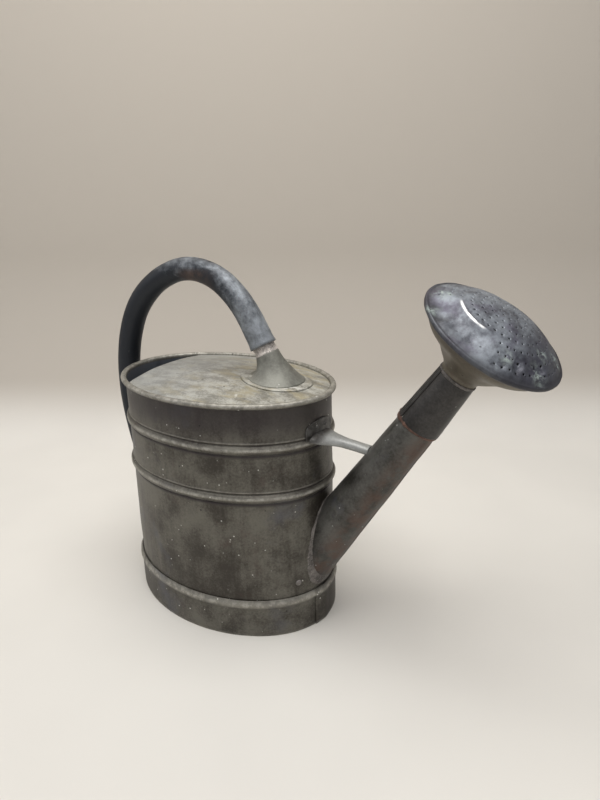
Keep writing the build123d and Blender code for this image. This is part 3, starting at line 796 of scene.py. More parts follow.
def make_foot():
    """The foot band: a strip lapped over itself, with a bead where it closes on the wall."""
    wall = Wall()
    sizes = wall.sizes
    half_sheet = sizes.sheet / 2
    line = FOOT_HIGH.z
    shoulder = line - 9.5 * MM
    reach = 6.7 * MM
    profile = [(reach - half_sheet, 0.0)]
    for step in range(1, 10):
        share = step / 9
        profile.append((reach - half_sheet - 0.5 * MM * share, shoulder * share))
    for step in range(1, 17):
        share = step / 16
        swell = sin(pi * share) ** 0.8 * 2.3 * MM
        fall = (reach - 0.5 * MM) * (1 - share) + (wall.spread(line) + half_sheet) * share
        profile.append((fall - half_sheet * (1 - share) + swell, shoulder + (line - shoulder) * share))
    start = asin(sizes.lap_start / wall.wide)
    overlap = asin((sizes.lap_start + sizes.lap_width) / wall.wide) - start
    steps = ROUND_STEPS + 8
    rings = []
    for out, height in profile:
        ring = []
        for step in range(steps + 1):
            swing = (2 * pi + overlap) * step / steps
            turn = start + swing
            lap = sizes.sheet * 1.15 * smooth(overlap * 1.9, overlap * 1.05, swing)
            line_point = Vector((wall.long * cos(turn), wall.wide * sin(turn), height))
            wave = 0.35 * rough_noise(line_point, 22.0, 5.0) + 0.12 * rough_noise(line_point, 80.0, 2.0)
            ring.append(line_point + wall.outward(turn) * (out + lap + wave * MM))
        rings.append(ring)
    return thicken(sheet_mesh("foot_strip", rings, closed=False), sizes.sheet)


class CAN_OT_foot(bpy.types.Operator):
    """Makes the foot band and finishes the bottom plate"""

    bl_idname = "can.make_foot"
    bl_label = "Foot"

    def execute(self, context):
        sizes = context.scene.can_body
        material = weathered_zinc(
            "foot_zinc", sizes.light, sizes.dark, sizes.tint, sizes.rust,
            streak=0.2, lime=2.2, wear=foot_wear, metal=0.4, gloss=0.46, spread=0.18, seed=21.0,
        )
        place_piece(make_foot(), "can", "body_zinc", material, "foot_band")
        bottom = weathered_zinc(
            "bottom_zinc", sizes.light, sizes.dark, sizes.tint, sizes.rust,
            streak=0.1, lime=0.6, gloss=0.6, seed=31.0,
        )
        finish_node("bottom_plate", bottom)
        return {"FINISHED"}


# ------------------------------------------------------------------ deck
class Deck:
    """The crowned deck's surface and its outline."""

    def __init__(self):
        self.sizes = bpy.context.scene.can_deck
        self.long = DECK_HIGH.x
        self.wide = DECK_HIGH.y
        self.rear = DECK_LOW.x

    def height(self, x, y):
        """Upper face of the deck, with its dents."""
        bow = 1 - (x / self.long) ** 2 - (y / self.wide) ** 2
        calm = smooth(0.0, 0.25, bow)
        place = (x, y, 0.0)
        dents = rough_noise(place, 17.0, 8.2) * 0.9 + rough_noise(place, 41.0, 2.6) * 0.35
        dents += rough_noise(place, 120.0, 6.1) * 0.08
        crown = self.sizes.rise * max(0.0, bow) ** 0.82
        return self.sizes.edge_height + crown + self.sizes.dent_depth * dents * calm

    def outline(self, steps):
        """Points round the deck's edge: the oval, then the straight rear edge."""
        half = acos(self.rear / self.long)
        oval = [(-half) + 2 * half * step / steps for step in range(steps + 1)]
        points = [Vector((self.long * cos(t), self.wide * sin(t), 0)) for t in oval]
        first, last = points[0], points[-1]
        across = max(8, steps // 6)
        points += [last.lerp(first, step / across) for step in range(1, across)]
        return points


def make_deck():
    """The half deck: a crowned sheet with a turned-down edge all round."""
    deck = Deck()
    sheet = bpy.context.scene.can_body.sheet
    outline = deck.outline(300)
    centre = Vector((12 * MM, 0, 0))
    rings = []
    for share in [0.004] + [step / 60 for step in range(1, 61)]:
        ring = []
        for edge in outline:
            spot = centre.lerp(edge, share)
            ring.append(Vector((spot.x, spot.y, deck.height(spot.x, spot.y) - sheet / 2)))
        rings.append(ring)
    turned = (
        (0.35 * MM, 0.12 * MM), (1.0 * MM, 0.3 * MM), (3.0 * MM, 0.45 * MM), (deck.sizes.flange, 0.45 * MM),
    )
    for drop, tuck in turned:
        ring = []
        for edge in outline:
            inner = edge + (centre - edge).normalized() * tuck
            base = deck.height(edge.x, edge.y) - sheet / 2
            ring.append(Vector((inner.x, inner.y, base - drop)))
        rings.append(ring)
    piece = sheet_mesh("deck_sheet", rings, cap_start=True)
    return thicken(piece, sheet)


def make_socket_plate():
    """The plate round the socket: a strip bent round it, its ends lapped on the rear left."""
    deck = Deck()
    sizes = deck.sizes
    start = radians(208)
    overlap = radians(11)
    steps = 150
    rings = []
    levels = ((0.60, 0.0), (0.75, 0.0), (0.88, 0.0), (0.97, 0.0), (1.0, -0.35), (1.008, -0.95))
    for share, sink in levels:
        ring = []
        for step in range(steps + 1):
            swing = (2 * pi + overlap) * step / steps
            turn = start + swing
            ragged = 1 + 0.018 * rough_noise((cos(turn), sin(turn), share), 3.0, 9.0)
            x = sizes.plate_x + sizes.plate_long * share * ragged * cos(turn)
            y = sizes.plate_wide * share * ragged * sin(turn)
            lap = smooth(overlap * 1.8, overlap * 1.0, swing) * 0.9
            rise = 1.0 + lap + sink + 0.15 * rough_noise((x, y, 0), 90.0, 1.0)
            ring.append(Vector((x, y, deck.height(x, y) + rise * MM)))
        rings.append(ring)
    return thicken(sheet_mesh("socket_collar", rings, closed=False), 0.7 * MM, offset=-1.0)


def deck_zinc(sizes):
    """Limed and mottled zinc: greyer at the mouth, ochre and whiter round the socket."""
    shader = Shader("deck_zinc")
    stretched = shader.stretched(0.7, 1.5, 1.0)
    mottled = shader.noise(62.0, 6.0, 0.68, place=stretched, seed=42.0)
    grain = shader.noise(480.0, 4.0, 0.7, seed=43.0)
    paint = shader.mix((mottled * 0.7 + grain * 0.3).above(0.41, 0.60), sizes.dark, sizes.light)
    front = shader.x.above(-60 * MM, 70 * MM)
    grey = tuple(c * 0.80 for c in sizes.light)
    paint = shader.mix((1 - front) * 0.55, paint, (grey[0] * 0.95, grey[1], grey[2] * 1.12))
    ochre = shader.noise(38.0, 5.0, 0.65, place=stretched, seed=44.0).above(0.46, 0.62) * (0.2 + front * 0.6)
    paint = shader.mix(ochre, paint, sizes.tint)
    dark_spots = shader.noise(85.0, 5.0, 0.7, seed=45.0).above(0.60, 0.70) * 0.6
    paint = shader.mix(dark_spots, paint, tuple(c * 0.45 for c in sizes.dark))
    patch = shader.noise(58.0, 4.0, 0.7, seed=46.0).above(0.62, 0.70) * (0.35 + front * 0.65)
    beside = shader.x.near(96 * MM, 22 * MM) * shader.y.near(-18 * MM, 17 * MM) * mottled.above(0.45, 0.58)
    dots = shader.specks(120.0, 0.20, 0.12, seed=47.0)
    white = (patch * 0.8 + dots * 0.8 + beside * 0.8).clamped()
    paint = shader.mix(white * 0.85, paint, (0.80, 0.79, 0.73))
    pits = shader.specks(150.0, 0.20, 0.07, seed=48.0)
    paint = shader.mix(pits * 0.8, paint, (0.02, 0.02, 0.017))
    rough = (0.52 + (mottled - 0.5) * 0.5 + white * 0.2).clamped()
    height = mottled * 0.7 + grain * 0.3 + white * 0.5 - pits
    return shader.finish(paint, rough, 0.25, height, bump_depth=0.45, bump_reach=0.0008)


class CAN_OT_deck(bpy.types.Operator):
    """Makes the crowned half deck and the plate round the handle's socket"""

    bl_idname = "can.make_deck"
    bl_label = "Deck"

    def execute(self, context):
        sizes = context.scene.can_deck
        material = deck_zinc(sizes)
        place_piece(make_deck(), "can", "deck_zinc", material, "deck_plate")
        place_piece(make_socket_plate(), "can", "deck_zinc", material, "socket_plate")
        return {"FINISHED"}


# ------------------------------------------------------------------ handle
# The hoop's bends after its upright shoulder: radius in metres, turn in degrees
HOOP_BENDS = ((0.200, 22.5), (0.120, 50.0), (0.076, 57.0), (0.120, 22.0))


def hoop_route(sizes, step=2.5 * MM):
    """Points along the handle from its foot on the wall to its front end, with their directions."""
    shoulder = Vector((sizes.shoulder_x, 0, sizes.shoulder_z))
    places, headings = [], []
    centre = shoulder + Vector((sizes.leg_radius, 0, 0))
    leg_steps = int(sizes.leg_radius * sizes.leg_turn / step)
    for index in range(leg_steps + 1):
        turn = sizes.leg_turn * (1 - index / leg_steps)
        places.append(centre - Vector((cos(turn), 0, sin(turn))) * sizes.leg_radius)
        headings.append(Vector((-sin(turn), 0, cos(turn))))
    place, heading = places[-1], pi / 2
    for radius, turn in HOOP_BENDS:
        sweep = radians(turn)
        middle = place + Vector((sin(heading), 0, -cos(heading))) * radius
        count = max(4, int(radius * sweep / step))
        for index in range(1, count + 1):
            now = heading - sweep * index / count
            places.append(middle - Vector((sin(now), 0, -cos(now))) * radius)
            headings.append(Vector((cos(now), 0, sin(now))))
        heading -= sweep
        place = places[-1]
    forward = Vector((cos(heading), 0, sin(heading)))
    count = int(sizes.front_run / step)
    for index in range(1, count + 1):
        places.append(place + forward * sizes.front_run * index / count)
        headings.append(forward)
    return places, headings


def make_hoop():
    """The hoop handle: a bent tube whose lower end is cut to the wall and whose front end is flared."""
    wall = Wall()
    sizes = bpy.context.scene.can_handle
    places, headings = hoop_route(sizes)
    distance = cumulative(places)
    total = distance[-1]
    radii = (
        (0.0, sizes.rear_radius),
        (total * 0.45, sizes.rear_radius - 0.1 * MM),
        (total * 0.68, sizes.top_radius),
        (total * 0.90, sizes.rear_radius),
        (total - 7 * MM, sizes.bell_radius - 0.7 * MM),
        (total, sizes.bell_radius),
    )
    columns = 64
    side = Vector((0, 1, 0))
    rings = []
    down = -headings[0]
    first = radii[0][1]
    inner = headings[0].cross(side)
    for row in range(18):
        share = row / 18
        ring = []
        for column in range(columns):
            turn = 2 * pi * column / columns
            offset = (inner * cos(turn) + side * sin(turn)) * first
            start = places[0] + offset
            depth = leg_meet(wall, start, down)
            ring.append(start + down * depth * (1 - share))
        rings.append(ring)
    for place, heading, along in zip(places, headings, distance):
        across = heading.cross(side)
        radius = blend_table(radii, along)
        ring = []
        for column in range(columns):
            turn = 2 * pi * column / columns
            outward = across * cos(turn) + side * sin(turn)
            spot = place + outward * radius
            dent = 0.22 * MM * rough_noise(spot, 45.0, 6.6) + 0.07 * MM * rough_noise(spot, 150.0, 1.2)
            dent *= smooth(0.0, 12 * MM, along)
            ring.append(spot + outward * dent)
        rings.append(ring)
    return thicken(sheet_mesh("hoop_tube", rings), 1.0 * MM, offset=-1.0)


def leg_meet(wall, start, down):
    """How far down a line runs before it lands on the wall, beads included."""
    reach = 0.0
    while reach < 90 * MM:
        spot = start + down * reach
        spread = wall.spread(spot.z) + wall.beads(spot.z) + 0.15 * MM
        if hypot(spot.x / (wall.long + spread), spot.y / (wall.wide + spread)) < 1:
            return reach
        reach += 0.4 * MM
    return reach


def neck_foot(sizes):
    """Lower end of the soldered neck and the direction that it points in."""
    places, headings = hoop_route(sizes)
    return places[-1] + headings[-1] * sizes.neck_length, headings[-1], places[-1]


def make_neck():
    """The soldered neck between the tube and the cone, lumpy with old solder."""
    sizes = bpy.context.scene.can_handle
    _, forward, tube_end = neck_foot(sizes)
    side = Vector((0, 1, 0))
    across = forward.cross(side)
    rings = []
    rows = 26
    start = -9.0 * MM
    finish = sizes.neck_length + 1.2 * MM
    for row in range(rows + 1):
        along = start + (finish - start) * row / rows
        ring = []
        for column in range(72):
            turn = 2 * pi * column / 72
            outward = across * cos(turn) + side * sin(turn)
            spot = tube_end + forward * along + outward * sizes.neck_radius
            bare = smooth(-0.5 * MM, 1.0 * MM, along)
            lump = rough_noise(spot, 170.0, 3.3) * 0.45 + rough_noise(spot, 420.0, 5.3) * 0.2
            collar = 0.9 * bump_at(along, sizes.neck_length * 0.95, 2.6 * MM)
            collar += 0.35 * bump_at(along, 1.5 * MM, 1.6 * MM)
            ring.append(spot + outward * (lump + collar) * bare * MM)
        rings.append(ring)
    return sheet_mesh("neck_solder", rings, cap_start=True, cap_end=True)


def make_socket():
    """The flared socket: a leaning cone that runs out on the deck, its foot dressed by hammer."""
    sizes = bpy.context.scene.can_handle
    deck = Deck()
    foot, forward, _ = neck_foot(sizes)
    side = Vector((0, 1, 0))
    across = forward.cross(side)
    waist = Vector((sizes.waist_x, 0, sizes.waist_z))
    waist_forward = Vector((sin(sizes.waist_tilt), 0, -cos(sizes.waist_tilt)))
    waist_across = waist_forward.cross(side)
    columns, rows = 120, 40
    rings = []
    for row in range(rows + 1):
        share = row / rows
        ring = []
        for column in range(columns):
            turn = 2 * pi * column / columns
            top = foot + (across * cos(turn) + side * sin(turn)) * sizes.neck_radius
            middle = waist + (waist_across * cos(turn) + side * sin(turn)) * sizes.waist_radius
            x = sizes.socket_x + sizes.socket_radius * cos(turn)
            y = sizes.socket_radius * sin(turn)
            base = Vector((x, y, deck.height(x, y) + 1.25 * MM))
            half = 0.45
            first = (share - half) * (share - 1) / half
            second = share * (share - 1) / (half * (half - 1))
            third = share * (share - half) / (1 - half)
            spot = top * first + middle * second + base * third
            flute = 0.28 * MM * sin(9 * turn + 1.3) * bump_at(share, 0.62, 0.4)
            calm = smooth(0.0, 0.15, share) * smooth(1.0, 0.9, share)
            rough = 0.25 * MM * rough_noise(spot, 70.0, 7.0) * calm
            outward = (spot - Vector((waist.x, 0, spot.z))).normalized()
            ring.append(spot + outward * (flute + rough))
        rings.append(ring)
    return thicken(sheet_mesh("socket_cone", rings), 0.9 * MM, offset=-1.0)


def handle_wear_and_highlight(shader):
    """Bright wear along the hoop's upper front and crest, where it hangs and is carried, with a painted highlight
    there as well.
    """
    front = shader.x.above(-10 * MM, 35 * MM) * 0.85
    crest = shader.z.above(372 * MM, 399 * MM) * 0.6
    return (front + crest).clamped()


def handle_zinc(sizes):
    """Dark patina polished by hands and lightened by a painted highlight on the front and crest, with a brown
    patch under the top of the hoop.
    """
    shader = Shader("handle_zinc")
    cloud = shader.noise(38.0, 6.0, 0.65, seed=51.0)
    grain = shader.noise(330.0, 4.0, 0.7, seed=52.0)
    rubbed = shader.noise(120.0, 5.0, 0.7, place=shader.stretched(1.0, 2.2, 1.0), seed=53.0)
    # The light colour on the front and crest is partly polished zinc and partly a painted highlight.
    wear = handle_wear_and_highlight(shader) * 0.55 + (cloud - 0.5) * 0.9 + (rubbed - 0.5) * 0.6
    paint = shader.mix(wear.above(0.12, 0.72), sizes.dark, sizes.light)
    patch = shader.x.near(-22 * MM, 30 * MM)
    patch = patch * shader.z.above(360 * MM, 374 * MM) * shader.z.below(384 * MM, 391 * MM)
    paint = shader.mix((patch * cloud.above(0.35, 0.6)).clamped(), paint, sizes.stain)
    dots = shader.specks(130.0, 0.17, 0.12, seed=54.0)
    scuffs = shader.noise(75.0, 5.0, 0.8, seed=55.0).above(0.66, 0.74)
    white = (dots * 0.8 + scuffs * 0.5).clamped()
    paint = shader.mix(white, paint, (0.62, 0.62, 0.60))
    rough = (0.46 + (cloud - 0.5) * 0.3 + grain * 0.14 + white * 0.2).clamped()
    height = cloud * 0.4 + grain * 0.3 + white * 0.4
    return shader.finish(paint, rough, 0.55, height, bump_depth=0.25, bump_reach=0.0005)


def neck_zinc(name, solder, seed, shine=0.45):
    """Old solder: pale, lumpy and slightly pink, with dark hollows."""
    shader = Shader(name)
    cloud = shader.noise(90.0, 5.0, 0.7, seed=seed)
    grain = shader.noise(500.0, 4.0, 0.7, seed=seed + 1)
    pale = tuple(min(1.0, c * 1.7) for c in solder)
    deep = tuple(c * 0.35 for c in solder)
    paint = shader.mix(cloud.above(0.35, 0.65), deep, solder)
    paint = shader.mix(grain.above(0.5, 0.7) * 0.7, paint, pale)
    pits = shader.specks(260.0, 0.3, 0.25, seed=seed + 2)
    paint = shader.mix(pits * 0.8, paint, (0.02, 0.018, 0.016))
    height = cloud + grain * 0.6 - pits
    rough = (shine + grain * 0.3).clamped()
    return shader.finish(paint, rough, 0.3, height, bump_depth=0.6, bump_reach=0.0008)


class CAN_OT_handle(bpy.types.Operator):
    """Makes the hoop handle, its soldered neck and its socket"""

    bl_idname = "can.make_handle"
    bl_label = "Handle"

    def execute(self, context):
        sizes = context.scene.can_handle
        solder = context.scene.can_spout.solder
        cone = weathered_zinc(
            "socket_zinc", sizes.cone_light, sizes.cone_dark, sizes.cone_light, sizes.cone_dark,
            streak=0.35, lime=0.7, metal=0.25, gloss=0.48, seed=61.0,
        )
        pale = tuple(min(1.0, c * 1.5) for c in solder)
        place_piece(make_hoop(), "can", "handle_zinc", handle_zinc(sizes), "handle_tube")
        place_piece(make_neck(), "can", "solder", neck_zinc("neck_solder", pale, 66.0), "handle_neck")
        place_piece(make_socket(), "can", "socket_zinc", cone, "handle_socket")
        return {"FINISHED"}


# ------------------------------------------------------------------ spout
class Spout:
    """The spout's slanting cone, by distance from the wall and angle round its centre line."""

    def __init__(self):
        self.sizes = bpy.context.scene.can_spout
        self.root = SPOUT_TIP - SPOUT_DIR * self.sizes.reach
        self.side = Vector((0, 1, 0))

    def radius(self, along):
        """Outer radius at a distance from the wall."""
        return self.sizes.root_radius - self.sizes.taper * along

    def outward(self, turn):
        """Direction away from the centre line; turn 0 is the top, a quarter turn is +Y."""
        return SPOUT_UP * cos(turn) + self.side * sin(turn)

    def point(self, along, turn, out=0.0):
        """Point on the spout at a distance, an angle and a height above its face."""
        return self.root + SPOUT_DIR * along + self.outward(turn) * (self.radius(along) + out)

    def landing(self, turn, wall):
        """Distance at which the spout's face meets the wall, at an angle."""
        low, high = -70 * MM, 70 * MM
        for _ in range(HALVINGS):
            middle = (low + high) / 2
            if wall.inside(self.point(middle, turn)) < 1:
                low = middle
            else:
                high = middle
        return (low + high) / 2


def make_spout():
    """The tapered spout, cut to the wall, with a lap seam along its underside and a few dents."""
    wall, spout = Wall(), Spout()
    sizes = spout.sizes
    columns, rows = 144, 84
    landings = [spout.landing(2 * pi * column / columns, wall) for column in range(columns)]
    rings = []
    for row in range(rows + 1):
        share = row / rows
        ring = []
        for column, landing in enumerate(landings):
            turn = 2 * pi * column / columns
            along = landing + (sizes.reach - landing) * share
            spot = spout.point(along, turn)
            calm = smooth(0.0, 0.08, share) * smooth(1.0, 0.82, share)
            dent = 0.45 * MM * rough_noise(spot, 26.0, 12.0) + 0.12 * MM * rough_noise(spot, 85.0, 3.0)
            seam = 0.7 * MM * smooth(radians(7), radians(5), abs(turn - pi - radians(4)))
            seam *= smooth(0.0, 0.04, share) * smooth(0.84, 0.80, share)
            ring.append(spout.point(along, turn, dent * calm + seam))
        rings.append(ring)
    return thicken(sheet_mesh("spout_cone", rings), sizes.sheet, offset=-1.0)


def make_fillet():
    """Solder run round the spout's root, spread wide towards the rivet on each side."""
    wall, spout = Wall(), Spout()
    columns = 200
    rings = [[] for _ in range(9)]
    for column in range(columns):
        turn = 2 * pi * column / columns
        landing = spout.landing(turn, wall)
        contact = spout.point(landing, turn)
        ragged = 0.5 + 0.5 * rough_noise(contact, 120.0, 4.0)
        low_side = max(0.0, cos(turn - radians(128))) ** 6 + max(0.0, cos(turn + radians(128))) ** 6
        up_width = (2.2 + 2.0 * ragged) * MM
        wall_width = (2.4 + 2.6 * ragged + 8.0 * low_side) * MM
        upper = spout.point(landing + up_width, turn, 0.12 * MM)
        flat = Vector((0, contact.y, contact.z - spout.root.z - 4 * MM)).normalized()
        outer = contact + flat * wall_width
        floor = FOOT_HIGH.z + 0.3 * MM
        outer = wall.front(outer.y, max(floor, outer.z), 0.12 * MM)
        corner = wall.front(contact.y, max(floor, contact.z), 0.5 * MM)
        for level in range(9):
            share = level / 8
            bend = upper.lerp(corner, share).lerp(corner.lerp(outer, share), share)
            lump = 0.35 * MM * rough_noise(bend, 260.0, 8.0) * sin(pi * share)
            lift = (spout.outward(turn) + wall.front_outward(contact.y, contact.z)).normalized()
            rings[level].append(bend + lift * (lump + 0.35 * MM * sin(pi * share)))
    return thicken(sheet_mesh("root_solder", rings), 0.25 * MM, offset=-1.0)


# Outline of a rivet's head, as shares of its radius and rise
HEAD_PROFILE = (
    (1.0, -0.25), (1.03, 0.0), (1.0, 0.22), (0.9, 0.5), (0.72, 0.76), (0.5, 0.92), (0.26, 0.99), (0.04, 1.0),
)


def dome_head(name, place, outward, radius, rise, rough=0.0):
    """A shallow domed head on a surface, its edge slightly undercut."""
    side = outward.cross(UP).normalized()
    over = side.cross(outward)
    rings = []
    for reach, lift in HEAD_PROFILE:
        ring = []
        for column in range(28):
            turn = 2 * pi * column / 28
            spot = place + (side * cos(turn) + over * sin(turn)) * radius * reach + outward * rise * lift
            ring.append(spot + outward * rough * rough_noise(spot, 600.0, 2.0))
        rings.append(ring)
    return sheet_mesh(name, rings, cap_start=True, cap_end=True)


def make_root_rivets():
    """The two rivets beside the spout's root."""
    wall = Wall()
    sizes = bpy.context.scene.can_spout
    heads = []
    for side in (-sizes.rivet_side, sizes.rivet_side):
        place = wall.front(side, sizes.rivet_height)
        outward = wall.front_outward(side, sizes.rivet_height)
        heads.append(dome_head("root_rivet", place, outward, 3.3 * MM, 2.0 * MM, 0.15 * MM))
    return join("root_rivets", heads)


def spout_zinc(sizes):
    """Dark zinc, bluish on top and reddish brown below, with a painted highlight along the top and run marks down
    its length.
    """
    shader = Shader("spout_zinc")
    along = shader.dot(shader.place, tuple(SPOUT_UP))
    root_level = (SPOUT_TIP - SPOUT_DIR * sizes.reach).dot(SPOUT_UP)
    lift = along - root_level
    cloud = shader.noise(30.0, 6.0, 0.65, seed=71.0)
    grain = shader.noise(380.0, 4.0, 0.7, seed=72.0)
    runs = shader.noise(95.0, 4.0, 0.6, place=shader.stretched(0.35, 1.0, 0.25), seed=73.0)
    body = cloud * 0.5 + runs * 0.5 + (grain - 0.5) * 0.3
    paint = shader.mix(body.above(0.36, 0.66), sizes.dark, sizes.light)
    # Painted highlight: a lighter colour along the spout's top.
    top = lift.above(4 * MM, 22 * MM) * cloud.above(0.35, 0.65)
    paint = shader.mix(top * 0.5, paint, tuple(c * 1.25 for c in sizes.light))
    bloom = shader.noise(24.0, 4.0, 0.6, seed=74.0).above(0.55, 0.7)
    paint = shader.mix(bloom * 0.6, paint, (0.085, 0.09, 0.115))
    under = lift.below(-16 * MM, 2 * MM) * shader.noise(52.0, 4.0, 0.65, seed=75.0).above(0.38, 0.58)
    paint = shader.mix((under * 0.7).clamped(), paint, sizes.rust)
    dots = shader.specks(150.0, 0.2, 0.10, seed=76.0) + shader.specks(300.0, 0.25, 0.12, seed=77.0)
    paint = shader.mix((dots * 0.7).clamped(), paint, (0.5, 0.5, 0.47))
    pits = shader.specks(170.0, 0.22, 0.10, seed=78.0)
    paint = shader.mix(pits * 0.8, paint, (0.01, 0.01, 0.009))
    rough = (0.40 + (cloud - 0.5) * 0.35 + grain * 0.12).clamped()
    height = cloud * 0.5 + grain * 0.35 + dots * 0.4 - pits
    return shader.finish(paint, rough, 0.45, height, bump_depth=0.3, bump_reach=0.0006)


class CAN_OT_spout(bpy.types.Operator):
    """Makes the spout, the solder and rivets at its root, and finishes its tip collar"""

    bl_idname = "can.make_spout"
    bl_label = "Spout"

    def execute(self, context):
        sizes = context.scene.can_spout
        zinc = spout_zinc(sizes)
        place_piece(make_spout(), "can", "spout_zinc", zinc, "spout_tube")
        dull = tuple(c * 0.55 for c in sizes.solder)
        solder = neck_zinc("root_solder", dull, 81.0, shine=0.4)
        place_piece(make_fillet(), "can", "solder", solder, "spout_solder")
        rivets = neck_zinc("rivet_solder", dull, 84.0)
        place_piece(make_root_rivets(), "can", "solder", rivets, "spout_rivets")
        finish_node("spout_collar", neck_zinc("collar_zinc", sizes.light, 87.0, shine=0.3))
        return {"FINISHED"}


# ------------------------------------------------------------------ strut
def make_strut():
    """The strut: a flattened tube whose wall end opens into an ear and whose other end clasps the spout."""
    wall, spout = Wall(), Spout()
    sizes = spout.sizes
    middle = sizes.ear_middle
    stations = (
        # X, Y and Z of the middle, then half width and half height, all in metres
        (wall.long - 2 * MM, middle * 1.15, 228.6 * MM, sizes.ear_width * 0.50, 4.6 * MM),
        (wall.long + 4 * MM, middle * 0.95, 226.4 * MM, sizes.ear_width * 0.43, 5.4 * MM),
        (wall.long + 11 * MM, middle * 0.55, 223.6 * MM, 12.4 * MM, 5.6 * MM),
        (wall.long + 20 * MM, middle * 0.25, 221.2 * MM, 8.4 * MM, 5.3 * MM),
        (wall.long + 32 * MM, middle * 0.06, 218.8 * MM, 6.9 * MM, 5.2 * MM),
        (sizes.strut_reach, 0.0, sizes.strut_end, 7.0 * MM, 5.0 * MM),
    )
    columns, rows = 56, 60
    rings = []
    for row in range(rows + 1):
        x = stations[0][0] + (stations[-1][0] - stations[0][0]) * row / rows
        y, z, half_width, half_height = (
            blend_line([(s[0], s[index]) for s in stations], x) for index in (1, 2, 3, 4)
        )
        ring = []
        for column in range(columns):
            turn = 2 * pi * column / columns
            across = half_width * abs(cos(turn)) ** 0.85 * (1 if cos(turn) >= 0 else -1)
            over = half_height * abs(sin(turn)) ** 0.95 * (1 if sin(turn) >= 0 else -0.85)
            spot = Vector((x, y + across, z + over))
            spot = settle_strut(spot, wall, spout, x < (stations[0][0] + stations[-1][0]) / 2)
            dent = 0.25 * MM * rough_noise(spot, 90.0, 3.0)
            ring.append(spot + Vector((0, 0, dent)))
        rings.append(ring)
    bar = sheet_mesh("strut_bar", rings, cap_start=True, cap_end=True)
    return join("strut_strip", [bar, make_ear(wall, sizes), make_tab(spout)])


def blend_line(stops, value):
    """Smooth line through stops, by Catmull-Rom spans."""
    last = len(stops) - 1
    index = 0
    while index < last - 1 and value > stops[index + 1][0]:
        index += 1
    start, end = stops[index], stops[index + 1]
    before = stops[max(0, index - 1)]
    after = stops[min(last, index + 2)]
    width = end[0] - start[0]
    share = min(1.0, max(0.0, (value - start[0]) / width))
    slope_in = (end[1] - before[1]) / (end[0] - before[0]) * width
    slope_out = (after[1] - start[1]) / (after[0] - start[0]) * width
    square, cube = share * share, share ** 3
    return (
        (2 * cube - 3 * square + 1) * start[1] + (cube - 2 * square + share) * slope_in
        + (3 * square - 2 * cube) * end[1] + (cube - square) * slope_out
    )


def settle_strut(spot, wall, spout, at_wall):
    """Keeps a point of the strut out of the wall and out of the spout."""
    if at_wall:
        out = wall.beads(spot.z) + 0.3 * MM
        front = wall.front(spot.y, spot.z, out)
        return Vector((max(spot.x, front.x), spot.y, spot.z))
    gap = spot - spout.root
    along = gap.dot(SPOUT_DIR)
    away = gap - SPOUT_DIR * along
    reach = spout.radius(along) + 0.3 * MM
    if away.length < reach:
        return spot + away.normalized() * (reach - away.length)
    return spot


def make_ear(wall, sizes):
    """The ear bent up against the wall, its upper corners rounded and its edge curled off a little."""
    bottom, top = wall.sizes.high_bead + 3.4 * MM, sizes.ear_top
    half = sizes.ear_width / 2
    columns, rows = 44, 22
    rings = []
    for row in range(rows + 1):
        share = row / rows
        height = bottom + (top - bottom) * share
        narrow = 1.0 if share < 0.45 else sqrt(max(0.0, 1 - ((share - 0.45) / 0.55) ** 2.6))
        ring = []
        for column in range(columns + 1):
            across = (2 * column / columns - 1)
            side = sizes.ear_middle + across * half * max(0.30, narrow)
            curl = 0.5 * MM * max(smooth(0.85, 1.0, abs(across)), smooth(0.85, 1.0, share))
            lump = 0.15 * MM * rough_noise((side, height, 0.0), 150.0, 3.0)
            ring.append(wall.front(side, height, 0.25 * MM + curl + lump))
        rings.append(ring)
    return thicken(sheet_mesh("strut_ear", rings, closed=False), 1.0 * MM, offset=1.0)


def make_tab(spout):
    """The tab soldered on top of the spout, like a leaf wrapped round it."""
    sizes = spout.sizes
    strut_end = Vector((sizes.strut_reach, 0, sizes.strut_end))
    along_middle = (strut_end - spout.root).dot(SPOUT_DIR) + 2.5 * MM
    columns, rows = 30, 26
    rings = []
    for row in range(rows + 1):
        share = 2 * row / rows - 1
        ring = []
        for column in range(columns + 1):
            across = 2 * column / columns - 1
            half = 9.5 * MM * sqrt(max(0.02, 1 - abs(share) ** 2.4))
            along = along_middle + share * 9.0 * MM
            turn = across * half / spout.radius(along)
            curl = 0.5 * MM * smooth(0.8, 1.0, max(abs(across), abs(share)))
            ring.append(spout.point(along, turn, 0.3 * MM + curl))
        rings.append(ring)
    return thicken(sheet_mesh("strut_tab", rings, closed=False), 0.9 * MM, offset=1.0)


def make_strut_rivets():
    """The two small rivets through the ear."""
    wall = Wall()
    sizes = bpy.context.scene.can_spout
    heads = []
    for step in (-0.5, 0.5):
        side = sizes.ear_middle + step * sizes.ear_rivet_pitch
        outward = wall.front_outward(side, sizes.ear_rivet_height)
        place = wall.front(side, sizes.ear_rivet_height) + outward * 1.2 * MM
        heads.append(dome_head("ear_rivet", place, outward, 2.0 * MM, 1.2 * MM))
    return join("ear_rivets", heads)


class CAN_OT_strut(bpy.types.Operator):
    """Makes the strut between the body and the spout, and its rivets"""

    bl_idname = "can.make_strut"
    bl_label = "Strut"

    def execute(self, context):
        sizes = context.scene.can_spout
        material = weathered_zinc(
            "strut_zinc", sizes.strut_light, sizes.strut_dark, sizes.strut_light, sizes.strut_dark,
            streak=0.0, lime=0.5, shade=strut_shade, metal=0.35, gloss=0.42, seed=91.0,
        )
        place_piece(make_strut(), "can", "strut_zinc", material, "strut")
        place_piece(make_strut_rivets(), "can", "strut_zinc", material, "strut_rivets")
        return {"FINISHED"}


def strut_shade(shader):
    """The ear, which is as dark as the wall behind it."""
    cloud = shader.noise(150.0, 4.0, 0.6, seed=95.0).above(0.35, 0.6)
    ear = shader.x.below(129 * MM, 136 * MM) * shader.z.above(222 * MM, 229 * MM)
    return ear * (0.75 + 0.25 * cloud), (0.050, 0.046, 0.042)


